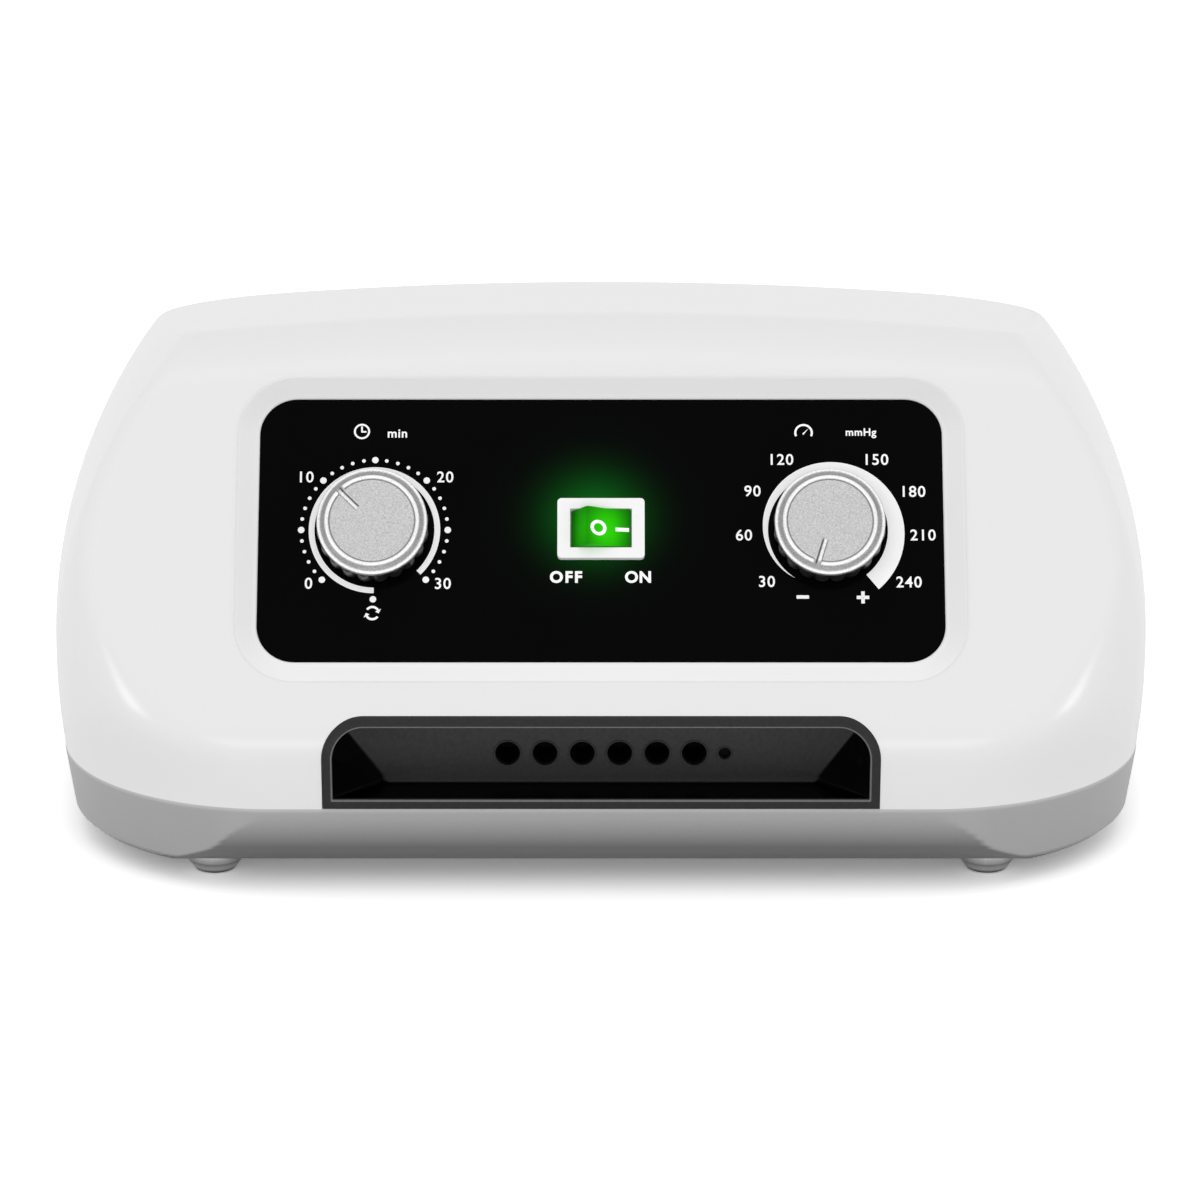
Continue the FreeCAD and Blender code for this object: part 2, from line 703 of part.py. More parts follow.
def case_screws():
    screws = []
    seat = FOOT_HEIGHT + POST_SEAT
    for x, y in post_places():
        head = rod(SCREW_HEAD, SCREW_HEAD_HEIGHT, Vector(x, y, seat - SCREW_HEAD_HEIGHT), UP)
        shank = rod(SCREW_DIA, SEAM + POST_DRIVE - seat, Vector(x, y, seat), UP)
        screws.append(joined([head, shank]))
    return Part.makeCompound(screws)


# Hose bay and manifold -------------------------------------------------------

def port_xs():
    first = -(PORT_COUNT - 1) * PORT_PITCH / 2
    return [first + index * PORT_PITCH for index in range(PORT_COUNT)]


def bay_pocket():
    """Pocket that narrows towards its back wall."""
    front = FRONT - BAY_DEPTH
    back = FRONT + BAY_DEPTH
    low = SEAM + BAY_RIM
    high = SEAM + BAY_RISE - BAY_RIM
    corner = BAY_CORNER - BAY_RIM

    def ring_at(y, top_half, low_half, top, round_corner):
        points = [(-low_half, low), (low_half, low), (top_half, top - round_corner),
                  (top_half - round_corner, top), (round_corner - top_half, top),
                  (-top_half, top - round_corner)]
        vectors = [Vector(x, y, z) for x, z in points]
        return Part.makePolygon(vectors + vectors[:1])

    half = BAY_WIDTH / 2 - BAY_RIM
    widen = (BAY_WIDTH - 2 * BAY_RIM - BAY_BACK_LOW) / 2
    mouth = ring_at(front, half + (half - BAY_BACK_TOP / 2), half + widen, high + BAY_BACK_DROP, corner)
    rear = ring_at(back, BAY_BACK_TOP / 2, BAY_BACK_LOW / 2, high - BAY_BACK_DROP, corner)
    return Part.makeLoft([mouth, rear], True, True)


def hose_port_bay():
    """Framed pocket that stands a little proud of the skirt, with the port holes in its back wall."""
    block = only_solid(bay_prism(0, BAY_REAR).common(slab(-TRIM_PROUD)).common(dome(-TRIM_PROUD)))
    bend = [edge for edge in sharp_edges(block, CREASE_ANGLE)
            if edge.Length > BAY_WIDTH / 2 and SEAM + BAY_CORNER < edge.CenterOfGravity.z < SEAM + BAY_RISE - BAY_RIM]
    block = only_solid(block.makeFillet(CREASE, bend))
    block = block.cut(bay_pocket())
    for x in port_xs():
        block = block.cut(rod(PORT_BORE, BAY_REAR - FRONT, Vector(x, FRONT, PORT_Z), BACK))
    block = block.cut(rod(KEY_BORE, BAY_REAR - FRONT, Vector(KEY_OFFSET, FRONT, PORT_Z), BACK))
    return only_solid(block)


def manifold_screw_xs():
    reach = PORT_COUNT * PORT_PITCH / 2 + MANIFOLD_EAR
    return (-reach, reach)


def air_manifold():
    width = PORT_COUNT * PORT_PITCH + MANIFOLD_EAR * 3
    block = box(width, MANIFOLD_DEPTH, MANIFOLD_HEIGHT, 0, BAY_REAR + MANIFOLD_DEPTH / 2,
                PORT_Z - MANIFOLD_HEIGHT / 2)
    for x in port_xs():
        block = block.fuse(rod(BARB_OUTER, BARB_LENGTH, Vector(x, MANIFOLD_REAR, PORT_Z), BACK))
    for x in port_xs():
        block = block.cut(rod(PORT_BORE, PORT_LENGTH, Vector(x, BAY_REAR, PORT_Z), BACK))
        block = block.cut(rod(BARB_BORE, MANIFOLD_DEPTH + BARB_LENGTH, Vector(x, BAY_REAR, PORT_Z), BACK))
    for x in manifold_screw_xs():
        block = block.cut(rod(SCREW_DIA, MANIFOLD_DEPTH, Vector(x, BAY_REAR, PORT_Z), BACK))
    return only_solid(block)


def manifold_screws():
    screws = []
    for x in manifold_screw_xs():
        head = rod(SCREW_HEAD, SCREW_HEAD_HEIGHT, Vector(x, MANIFOLD_REAR, PORT_Z), BACK)
        shank = rod(SCREW_DIA, MANIFOLD_DEPTH, Vector(x, BAY_REAR, PORT_Z), BACK)
        screws.append(joined([head, shank]))
    return Part.makeCompound(screws)


# Dials -----------------------------------------------------------------------

def dial_x(side):
    return side * DIAL_OFFSET


def dial_shaft(bottom):
    """Shaft with a flat at its top end, in panel coordinates about the origin."""
    top = KNOB_GAP + KNOB_BODY_HEIGHT - OVERRUN
    shaft = rod(SHAFT_DIA, top - bottom, Vector(0, 0, bottom), UP)
    flat = box(SHAFT_DIA, SHAFT_DIA, KNOB_BODY_HEIGHT, 0, SHAFT_DIA - SHAFT_FLAT,
               top - KNOB_BODY_HEIGHT + NUT_THICK)
    return shaft.cut(flat)


def knob_body():
    """Scalloped grip with a hub that the shaft fills."""
    core = rod(KNOB_DIA - 2 * KNOB_LOBE, KNOB_BODY_HEIGHT, Vector(0, 0, KNOB_GAP), UP)
    lobe_dia = math.pi * KNOB_DIA / KNOB_LOBES * KNOB_LOBE_SHARE
    lobes = []
    for index in range(KNOB_LOBES):
        angle = 2 * math.pi * index / KNOB_LOBES
        reach = KNOB_DIA / 2 - lobe_dia / 2
        place = Vector(reach * math.cos(angle), reach * math.sin(angle), KNOB_GAP)
        lobes.append(rod(lobe_dia, KNOB_BODY_HEIGHT, place, UP))
    body = core.fuse(lobes)
    nut_room = rod(2 * nut_reach() + 2 * KNOB_GAP, NUT_THICK, Vector(0, 0, KNOB_GAP), UP)
    body = body.cut(nut_room)
    return only_solid(body.cut(dial_shaft(PANEL_BACK)))


def knob_cap():
    """Spun metal cap with a sunk disc and a pointer groove."""
    base = KNOB_GAP + KNOB_BODY_HEIGHT
    top = base + CAP_HEIGHT
    cap = rod(CAP_DIA, CAP_HEIGHT, Vector(0, 0, base), UP)
    rim = [edge for edge in cap.Edges if edge.BoundBox.ZMin > top - CAP_SINK]
    cap = cap.makeFillet(CAP_SINK * 2, rim)
    cap = cap.cut(rod(CAP_DISC, CAP_SINK, Vector(0, 0, top - CAP_SINK), UP))
    pointer = box(POINTER_LENGTH, POINTER_WIDTH, CAP_SINK * 2, CAP_DISC / 2 - POINTER_LENGTH / 2, 0,
                  top - CAP_SINK * 2)
    return only_solid(cap.cut(pointer))


def turned(shape, angle, side):
    """Turns a dial piece about its own axis and sets it on the panel."""
    piece = shape.copy()
    piece.rotate(Vector(0, 0, 0), UP, angle)
    piece.translate(Vector(dial_x(side), 0, 0))
    return on_panel(piece)


def dial_bush():
    return rod(BUSH_DIA, NUT_THICK - PANEL_BACK, Vector(0, 0, PANEL_BACK), UP)


def nut_reach():
    """From the nut's centre to a corner."""
    return NUT_FLATS / 2 / math.cos(math.pi / NUT_SIDES)


def hex_nut():
    points = []
    for index in range(NUT_SIDES + 1):
        angle = 2 * math.pi / NUT_SIDES * index
        points.append(Vector(nut_reach() * math.cos(angle), nut_reach() * math.sin(angle), 0))
    nut = Part.Face(Part.makePolygon(points)).extrude(Vector(0, 0, NUT_THICK))
    return nut.cut(rod(BUSH_DIA, NUT_THICK, Vector(0, 0, 0), UP))


def timer_housing():
    plate = box(TIMER_SIDE, TIMER_SIDE, TIMER_DEPTH, 0, 0, PANEL_BACK - TIMER_DEPTH)
    edges = [edge for edge in plate.Edges if edge.BoundBox.ZLength > TIMER_DEPTH / 2]
    body = joined([plate.makeFillet(TIMER_PLATE, edges), dial_bush()])
    seat = Vector(0, 0, PANEL_BACK - SHAFT_SEAT - SHAFT_FIT)
    hole = rod(SHAFT_DIA + 2 * SHAFT_FIT, BIG, seat, UP)
    return only_solid(body.cut(hole))


def pressure_valve_body():
    barrel = rod(VALVE_DIA, VALVE_DEPTH, Vector(0, 0, PANEL_BACK - VALVE_DEPTH), UP)
    barb_end = Vector(0, 0, PANEL_BACK - VALVE_DEPTH - BARB_LENGTH)
    body = joined([barrel, dial_bush(), rod(BARB_OUTER, BARB_LENGTH, barb_end, UP)])
    seat = Vector(0, 0, PANEL_BACK - SHAFT_SEAT - SHAFT_FIT)
    hole = rod(SHAFT_DIA + 2 * SHAFT_FIT, BIG, seat, UP)
    air = rod(BARB_BORE, VALVE_DEPTH, barb_end, UP)
    return only_solid(body.cut(hole).cut(air))


def dial_nodes():
    shaft = dial_shaft(PANEL_BACK - SHAFT_SEAT)
    nodes = {}
    dials = (("time", "timer_shaft", -1, TIMER_REST), ("pressure", "pressure_valve_stem", 1, PRESSURE_REST))
    for name, shaft_name, side, angle in dials:
        nodes[name + "_knob_body"] = turned(knob_body(), angle, side)
        nodes[name + "_knob_cap"] = turned(knob_cap(), angle, side)
        nodes[shaft_name] = turned(shaft, angle, side)
    nodes["timer_housing"] = turned(timer_housing(), 0, -1)
    nodes["timer_nut"] = turned(hex_nut(), 0, -1)
    nodes["pressure_valve_body"] = turned(pressure_valve_body(), 0, 1)
    nodes["pressure_valve_nut"] = turned(hex_nut(), 0, 1)
    return nodes


# Fascia and switch -----------------------------------------------------------

def fascia_plate():
    plate = on_panel(rounded_plate(FASCIA_WIDTH, FASCIA_HEIGHT, FASCIA_CORNER, -FASCIA_THICK, 0))
    for tool in panel_holes():
        plate = plate.cut(tool)
    return only_solid(plate)


def switch_housing():
    bezel = rounded_plate(BEZEL_WIDTH, BEZEL_HEIGHT, OVERRUN, 0, BEZEL_THICK)
    body = box(SWITCH_WIDTH, SWITCH_HEIGHT, SWITCH_DEPTH, 0, 0, -SWITCH_DEPTH)
    housing = joined([bezel, body])
    room = box(ROCKER_SPAN, ROCKER_TALL, SWITCH_DEPTH, 0, 0, BEZEL_THICK - SWITCH_DEPTH + SKIN)
    housing = housing.cut(room)
    pivots = rod(PIVOT_DIA + 2 * SHAFT_FIT, ROCKER_TALL + PIVOT_DIA + 2 * SHAFT_FIT,
                 Vector(0, -(ROCKER_TALL + PIVOT_DIA) / 2 - SHAFT_FIT, -ROCKER_PIVOT), BACK)
    return on_panel(only_solid(housing.cut(pivots)))


def switch_rocker():
    """Rocker with slanted ends, tilted to its rest side about the pivot pins."""
    span = ROCKER_SPAN / 2 - ROCKER_CLEAR
    tall = ROCKER_TALL - 2 * ROCKER_CLEAR
    corners = (
        (span * ROCKER_CROWN_SHARE, ROCKER_CROWN),
        (span * ROCKER_WAIST_SHARE, ROCKER_WAIST),
        (span * ROCKER_KEEL_SHARE, -ROCKER_KEEL),
    )
    points = [Vector(x, -tall / 2, z) for x, z in corners]
    points += [Vector(-x, -tall / 2, z) for x, z in reversed(corners)]
    body = Part.Face(Part.makePolygon(points + points[:1])).extrude(Vector(0, tall, 0))
    sweep = span * ROCKER_DISH_SWEEP
    dish = rod(2 * sweep, tall, Vector(0, -tall / 2, ROCKER_DISH + sweep), BACK)
    body = body.cut(dish)
    pins = rod(PIVOT_DIA, ROCKER_TALL + PIVOT_DIA, Vector(0, -(ROCKER_TALL + PIVOT_DIA) / 2, 0),
               BACK)
    body = only_solid(body.fuse(pins))
    body.rotate(Vector(0, 0, 0), BACK, ROCKER_TILT)
    body.translate(Vector(0, 0, -ROCKER_PIVOT))
    return on_panel(body)


def switch_terminals():
    blades = []
    for x in (-SWITCH_WIDTH / 3, 0, SWITCH_WIDTH / 3):
        blades.append(on_panel(box(TERMINAL_THICK, TERMINAL_WIDTH, TERMINAL_LENGTH, x, 0,
                                   -SWITCH_DEPTH - TERMINAL_LENGTH)))
    return Part.makeCompound(blades)


# Mains inlet -----------------------------------------------------------------

def inlet_face():
    """Outer face of the flange, proud of the rear wall by as much as the bay is of the front."""
    return REAR + TRIM_PROUD


def inlet_housing():
    flange = box(INLET_FLANGE_WIDTH, INLET_FLANGE_THICK, INLET_FLANGE_HEIGHT, INLET_X,
                 inlet_land() + INLET_FLANGE_THICK / 2, INLET_Z - INLET_FLANGE_HEIGHT / 2)
    body = box(INLET_BODY_WIDTH, INLET_BODY_DEPTH, INLET_BODY_HEIGHT, INLET_X,
               inlet_land() - INLET_BODY_DEPTH / 2, INLET_Z - INLET_BODY_HEIGHT / 2)
    mouth = box(INLET_MOUTH_WIDTH, INLET_MOUTH_DEPTH, INLET_MOUTH_HEIGHT, INLET_X,
                inlet_face() - INLET_MOUTH_DEPTH / 2, INLET_Z - INLET_MOUTH_HEIGHT / 2)
    upper = [edge for edge in mouth.Edges
             if edge.BoundBox.YLength > INLET_MOUTH_DEPTH / 2 and edge.BoundBox.ZMin > INLET_Z]
    mouth = mouth.makeChamfer(PIN_OFFSET, upper)
    housing = joined([flange, body]).cut(mouth)
    for pin in inlet_pin_boxes():
        housing = housing.cut(pin)
    return only_solid(housing)


def inlet_pin_boxes():
    floor = inlet_face() - INLET_MOUTH_DEPTH
    length = PIN_LENGTH + PIN_TAIL + INLET_BODY_DEPTH - INLET_MOUTH_DEPTH
    centre = floor + PIN_LENGTH - length / 2
    places = ((-PIN_PITCH / 2, 0), (PIN_PITCH / 2, 0), (0, PIN_OFFSET))
    return [box(PIN_THICK, length, PIN_WIDTH, INLET_X + x, centre, INLET_Z + z - PIN_WIDTH / 2)
            for x, z in places]


# Pump ------------------------------------------------------------------------

def rubber_mount(x, y):
    pad = rod(MOUNT_DIA, MOUNT_HEIGHT, Vector(x, y, FLOOR), UP)
    lower = rod(MOUNT_PEG, SKIN, Vector(x, y, FOOT_HEIGHT), UP)
    return joined([pad, lower])


def air_chamber():
    block = box(CHAMBER_WIDTH, CHAMBER_DEPTH, CHAMBER_HEIGHT, PUMP_X, PUMP_Y, CHAMBER_FLOOR)
    for sign in (-1, 1):
        foot_of_barb = Vector(PUMP_X + sign * CHAMBER_BARB_X, CHAMBER_BARB_Y, CHAMBER_TOP)
        block = block.fuse(rod(BARB_OUTER, BARB_LENGTH, foot_of_barb, UP))
    block = block.cut(box(CHAMBER_WIDTH - 2 * CHAMBER_SKIN, CHAMBER_DEPTH - 2 * CHAMBER_SKIN,
                          CHAMBER_HEIGHT - 2 * CHAMBER_SKIN, PUMP_X, PUMP_Y, CHAMBER_FLOOR + CHAMBER_SKIN))
    for sign in (-1, 1):
        start = Vector(PUMP_X + sign * CHAMBER_BARB_X, CHAMBER_BARB_Y, CHAMBER_TOP - CHAMBER_SKIN)
        block = block.cut(rod(BARB_BORE, BARB_LENGTH + CHAMBER_SKIN, start, UP))
    return only_solid(block.removeSplitter())


def wall_x(sign):
    return PUMP_X + sign * FRAME_WIDTH / 2


def pump_frame():
    """Folded steel bracket whose two end walls clamp the diaphragms."""
    plate = box(FRAME_WIDTH, FRAME_DEPTH, FRAME_THICK, PUMP_X, PUMP_Y, CHAMBER_TOP)
    walls = []
    for sign in (-1, 1):
        walls.append(box(FRAME_THICK, FRAME_DEPTH, FRAME_HEIGHT, wall_x(sign) - sign * FRAME_THICK / 2,
                         PUMP_Y, CHAMBER_TOP))
    frame = joined([plate] + walls)
    bore = rod(PISTON_DIA + 4 * PISTON_GAP, FRAME_WIDTH * 2, Vector(PUMP_X - FRAME_WIDTH, PUMP_Y, AXIS_Z),
               Vector(1, 0, 0))
    return only_solid(frame.cut(bore))


def diaphragm(sign):
    start = Vector(wall_x(sign), PUMP_Y, AXIS_Z)
    return ring(DIAPHRAGM_DIA, PISTON_DIA + 2 * PISTON_GAP, DIAPHRAGM_THICK, start, Vector(sign, 0, 0))


def pump_head(sign):
    """Head that clamps the diaphragm, with a hollow for the piston plate."""
    face = wall_x(sign) + sign * DIAPHRAGM_THICK
    middle = face + sign * HEAD_DEPTH / 2
    bottom = AXIS_Z - HEAD_SIDE / 2
    block = box(HEAD_DEPTH, HEAD_SIDE, HEAD_SIDE, middle, PUMP_Y, bottom)
    hollow_start = Vector(face, PUMP_Y, AXIS_Z)
    hollow = rod(PISTON_DIA + 4 * PISTON_GAP, HEAD_DEPTH / 2, hollow_start, Vector(sign, 0, 0))
    leg = box(HEAD_DEPTH, HEAD_SIDE / 2, bottom - CHAMBER_TOP, middle, PUMP_Y, CHAMBER_TOP)
    return only_solid(joined([block, leg]).cut(hollow))


def magnet_boxes():
    reach = (MAGNET_WIDTH + MAGNET_GAP) / 2
    return [box(MAGNET_WIDTH, ROD_THICK, ROD_WIDTH - 2 * FRAME_THICK, PUMP_X + x, PUMP_Y,
                AXIS_Z - ROD_WIDTH / 2 + FRAME_THICK) for x in (-reach, reach)]


def pump_armature():
    """Rod that carries the magnets, with a piston plate at each end."""
    plate_out = wall_x(1) - PUMP_X + DIAPHRAGM_THICK + PISTON_THICK / 2
    length = FRAME_WIDTH - 4 * FRAME_THICK
    bar = box(length, ROD_THICK, ROD_WIDTH, PUMP_X, PUMP_Y, AXIS_Z - ROD_WIDTH / 2)
    spine = rod(ROD_THICK, 2 * plate_out, Vector(PUMP_X - plate_out, PUMP_Y, AXIS_Z), Vector(1, 0, 0))
    plates = []
    for sign in (-1, 1):
        start = Vector(PUMP_X + sign * (plate_out - PISTON_THICK), PUMP_Y, AXIS_Z)
        plates.append(rod(PISTON_DIA, PISTON_THICK, start, Vector(sign, 0, 0)))
    armature = joined([bar, spine] + plates)
    for magnet in magnet_boxes():
        armature = armature.cut(magnet)
    return only_solid(armature)


def core_y(sign):
    return PUMP_Y + sign * (ROD_THICK / 2 + CORE_GAP + CORE_DEPTH / 2)


def pump_core(sign):
    """Laminated E core with its three limbs towards the armature."""
    base = CHAMBER_TOP + FRAME_THICK
    block = box(CORE_WIDTH, CORE_DEPTH, CORE_HEIGHT, PUMP_X, core_y(sign), base)
    y = core_y(sign) - sign * (CORE_DEPTH - CORE_SLOT_DEPTH) / 2
    for side in (-1, 1):
        x = PUMP_X + side * (CORE_LIMB + CORE_SLOT) / 2
        block = block.cut(box(CORE_SLOT, CORE_SLOT_DEPTH, CORE_HEIGHT, x, y, base))
    for level in (base, base + CORE_HEIGHT - COIL_SKIN):
        block = block.cut(box(CORE_LIMB, CORE_SLOT_DEPTH, COIL_SKIN, PUMP_X, y, level))
    return only_solid(block)


def pump_coil(sign):
    """Winding around the middle limb of a core."""
    y = core_y(sign) - sign * (CORE_DEPTH - CORE_SLOT_DEPTH) / 2
    base = CHAMBER_TOP + FRAME_THICK
    outer = box(CORE_LIMB + 2 * CORE_SLOT, CORE_SLOT_DEPTH, CORE_HEIGHT, PUMP_X, y, base)
    inner = box(CORE_LIMB, CORE_SLOT_DEPTH, CORE_HEIGHT - 2 * COIL_SKIN, PUMP_X, y, base + COIL_SKIN)
    return only_solid(outer.cut(inner))


# Rotary valve ----------------------------------------------------------------

def valve_body():
    block = box(VALVE_BLOCK_WIDTH, VALVE_BLOCK_DEPTH, VALVE_BLOCK_HEIGHT, 0, VALVE_Y, VALVE_BASE)
    wall = (VALVE_BLOCK_DEPTH - ROTOR_DIA) / 2
    for x in port_xs():
        block = block.fuse(rod(BARB_OUTER, BARB_LENGTH, Vector(x, VALVE_FRONT - BARB_LENGTH, PORT_Z), BACK))
    for x in port_xs():
        start = Vector(x, VALVE_FRONT - BARB_LENGTH, PORT_Z)
        block = block.cut(rod(BARB_BORE, BARB_LENGTH + wall / 2, start, BACK))
    well_floor = Vector(0, VALVE_Y, VALVE_TOP - ROTOR_HEIGHT - ROTOR_GAP)
    well = rod(ROTOR_DIA + 2 * ROTOR_GAP, BIG, well_floor, UP)
    shaft = rod(ROTOR_SHAFT + 2 * SHAFT_FIT, BIG, Vector(0, VALVE_Y, VALVE_BASE), UP)
    return only_solid(block.cut(well).cut(shaft))


def valve_rotor():
    bottom = VALVE_TOP - ROTOR_HEIGHT
    disc = rod(ROTOR_DIA, ROTOR_HEIGHT - ROTOR_GAP, Vector(0, VALVE_Y, bottom), UP)
    port = rod(PORT_BORE, ROTOR_HEIGHT, Vector(ROTOR_DIA / 4, VALVE_Y, bottom), UP)
    drop = (VALVE_BASE - FLOOR) / 2
    length = bottom - VALVE_BASE + drop + ROTOR_GAP
    shaft = rod(ROTOR_SHAFT, length, Vector(0, VALVE_Y, VALVE_BASE - drop), UP)
    return only_solid(joined([disc.cut(port), shaft]))


def valve_lid():
    plate = box(VALVE_BLOCK_WIDTH, VALVE_BLOCK_DEPTH, LID_THICK, 0, VALVE_Y, VALVE_TOP)
    barb = rod(BARB_OUTER, BARB_LENGTH, Vector(0, VALVE_Y, VALVE_TOP + LID_THICK), UP)
    air = rod(BARB_BORE, BARB_LENGTH + LID_THICK, Vector(0, VALVE_Y, VALVE_TOP), UP)
    return only_solid(joined([plate, barb]).cut(air))


def valve_screw_places():
    reach_x = VALVE_BLOCK_WIDTH / 2 - SCREW_HEAD
    reach_y = VALVE_BLOCK_DEPTH / 2 - SCREW_HEAD
    return [(x, VALVE_Y + y) for x in (-reach_x, reach_x) for y in (-reach_y, reach_y)]


def valve_motor():
    """Synchronous gear motor that stands on the tray and carries the valve block."""
    height = VALVE_BASE - FLOOR
    can = rod(MOTOR_DIA, height, Vector(0, VALVE_Y, FLOOR), UP)
    legs = []
    for x, y in valve_screw_places():
        legs.append(box(MOTOR_LEG, MOTOR_LEG, height, x, y, FLOOR))
    plate_width = VALVE_BLOCK_WIDTH - SCREW_HEAD
    plate = box(plate_width, VALVE_BLOCK_DEPTH - SCREW_HEAD, FRAME_THICK, 0, VALVE_Y, FLOOR)
    motor = joined([can, plate] + legs)
    hole_floor = Vector(0, VALVE_Y, VALVE_BASE - height / 2 - SHAFT_FIT)
    hole = rod(ROTOR_SHAFT + 2 * SHAFT_FIT, height, hole_floor, UP)
    return only_solid(motor.cut(hole))


# Tubes -----------------------------------------------------------------------

def routed_tube(points):
    """Hollow tube along straight runs joined by tangent arcs."""
    edges = []
    start = points[0]
    for index in range(1, len(points) - 1):
        before = points[index - 1] - points[index]
        after = points[index + 1] - points[index]
        shorter = min(before.Length, after.Length)
        reach = TUBE_BEND_SHARE * shorter
        turn = math.pi - before.getAngle(after)
        radius = reach / math.tan(turn / 2)
        towards = Vector(before).normalize()
        onwards = Vector(after).normalize()
        first = points[index] + towards * reach
        last = points[index] + onwards * reach
        bisector = (towards + onwards).normalize()
        middle = points[index] + bisector * (radius / math.cos(turn / 2) - radius)
        edges.append(Part.LineSegment(start, first).toShape())
        edges.append(Part.Arc(first, middle, last).toShape())
        start = last
    edges.append(Part.LineSegment(start, points[-1]).toShape())
    path = Part.Wire(edges)
    along = (points[1] - points[0]).normalize()
    profiles = []
    for diameter in (TUBE_OUTER, BARB_OUTER):
        circle = Part.Wire([Part.makeCircle(diameter / 2, points[0], along)])
        profiles.append(path.makePipeShell([circle], True, False))
    return only_solid(profiles[0].cut(profiles[1]))


def outlet_tube(x):
    front = MANIFOLD_REAR + FIT_GAP
    rear = VALVE_FRONT - FIT_GAP
    return ring(TUBE_OUTER, BARB_OUTER, rear - front, Vector(x, front, PORT_Z), BACK)


def supply_tube():
    chamber_x = PUMP_X - CHAMBER_BARB_X
    top = AXIS_Z + HEAD_SIDE / 2
    return routed_tube([
        Vector(chamber_x, CHAMBER_BARB_Y, CHAMBER_TOP + FIT_GAP),
        Vector(chamber_x, CHAMBER_BARB_Y, top),
        Vector(0, VALVE_Y, top),
        Vector(0, VALVE_Y, VALVE_TOP + LID_THICK + FIT_GAP),
    ])


def regulator_tube():
    end = PANEL_BACK - VALVE_DEPTH
    start = PANEL.multVec(Vector(DIAL_OFFSET, 0, end - FIT_GAP))
    leave = PANEL.multVec(Vector(DIAL_OFFSET, 0, end - BARB_LENGTH * 2))
    chamber_x = PUMP_X + CHAMBER_BARB_X
    return routed_tube([
        Vector(chamber_x, CHAMBER_BARB_Y, CHAMBER_TOP + FIT_GAP),
        Vector(chamber_x, CHAMBER_BARB_Y, leave.z),
        leave,
        start,
    ])


# Control board ---------------------------------------------------------------

def board_level():
    return FLOOR + BOARD_STANDOFF


def control_board():
    plate = box(BOARD_WIDTH, BOARD_DEPTH, BOARD_THICK, BOARD_X, BOARD_Y, board_level())
    top = board_level() + BOARD_THICK
    parts = [plate]
    clip = FUSE_DIA + 2 * OVERRUN
    for sign in (-1, 1):
        parts.append(box(FUSE_DIA, clip, clip, BOARD_X + sign * (FUSE_LENGTH - FUSE_DIA) / 2,
                         BOARD_Y, top))
    choke_y = BOARD_Y + (BOARD_DEPTH - CHOKE_DEPTH) / 2 - OVERRUN
    parts.append(box(CHOKE_WIDTH, CHOKE_DEPTH, CHOKE_HEIGHT, BOARD_X, choke_y, top))
    board = joined(parts)
    return only_solid(board.cut(fuse()))


def fuse():
    level = board_level() + BOARD_THICK + OVERRUN + FUSE_DIA / 2
    return rod(FUSE_DIA, FUSE_LENGTH, Vector(BOARD_X - FUSE_LENGTH / 2, BOARD_Y, level), Vector(1, 0, 0))


def board_screws():
    screws = []
    top = board_level() + BOARD_THICK
    for x, y in board_posts():
        screws.append(rod(SCREW_HEAD, SCREW_HEAD_HEIGHT, Vector(x, y, top), UP))
    return Part.makeCompound(screws)


def valve_screws():
    screws = []
    for x, y in valve_screw_places():
        seat = Vector(x, y, VALVE_TOP + LID_THICK)
        screws.append(rod(SCREW_HEAD, SCREW_HEAD_HEIGHT, seat, UP))
    return Part.makeCompound(screws)


def all_nodes():
    nodes = {
        "top_cover": top_cover(),
        "base_tray": base_tray(),
        "fascia_plate": fascia_plate(),
        "hose_port_bay": hose_port_bay(),
        "air_manifold": air_manifold(),
        "manifold_screws": manifold_screws(),
        "case_screws": case_screws(),
        "power_switch_housing": switch_housing(),
        "power_switch_rocker": switch_rocker(),
        "switch_terminals": switch_terminals(),
        "mains_inlet_housing": inlet_housing(),
        "mains_inlet_pins": Part.makeCompound(inlet_pin_boxes()),
        "pump_air_chamber": air_chamber(),
        "pump_frame": pump_frame(),
        "left_diaphragm": diaphragm(-1),
        "right_diaphragm": diaphragm(1),
        "left_pump_head": pump_head(-1),
        "right_pump_head": pump_head(1),
        "pump_armature": pump_armature(),
        "armature_magnets": Part.makeCompound(magnet_boxes()),
        "front_core": pump_core(-1),
        "rear_core": pump_core(1),
        "front_coil": pump_coil(-1),
        "rear_coil": pump_coil(1),
        "rotary_valve_body": valve_body(),
        "rotary_valve_rotor": valve_rotor(),
        "rotary_valve_lid": valve_lid(),
        "rotary_valve_motor": valve_motor(),
        "valve_screws": valve_screws(),
        "supply_tube": supply_tube(),
        "regulator_tube": regulator_tube(),
        "control_board": control_board(),
        "board_fuse": fuse(),
        "board_screws": board_screws(),
    }
    for name, (x, y) in foot_places().items():
        nodes[name] = foot(x, y)
    for index, (x, y) in enumerate(mount_places(), 1):
        nodes["pump_mount_%d" % index] = rubber_mount(x, y)
    for index, x in enumerate(port_xs(), 1):
        nodes["outlet_tube_%d" % index] = outlet_tube(x)
    nodes.update(dial_nodes())
    return nodes


def main():
    os.makedirs("parts", exist_ok=True)
    for name, shape in all_nodes().items():
        shape.exportStep("parts/" + name + ".step")
        print("%-24s solids %d  volume %10.1f" % (name, len(shape.Solids), shape.Volume))


main()
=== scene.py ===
"""Compression therapy pump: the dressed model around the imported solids.

Sizes are millimetres in the pump's own frame: +Z up, the front faces -Y, z 0 is the table.
Shapes are worked out as whole arrays and become metres only when a mesh is made.
"""
import json
import math

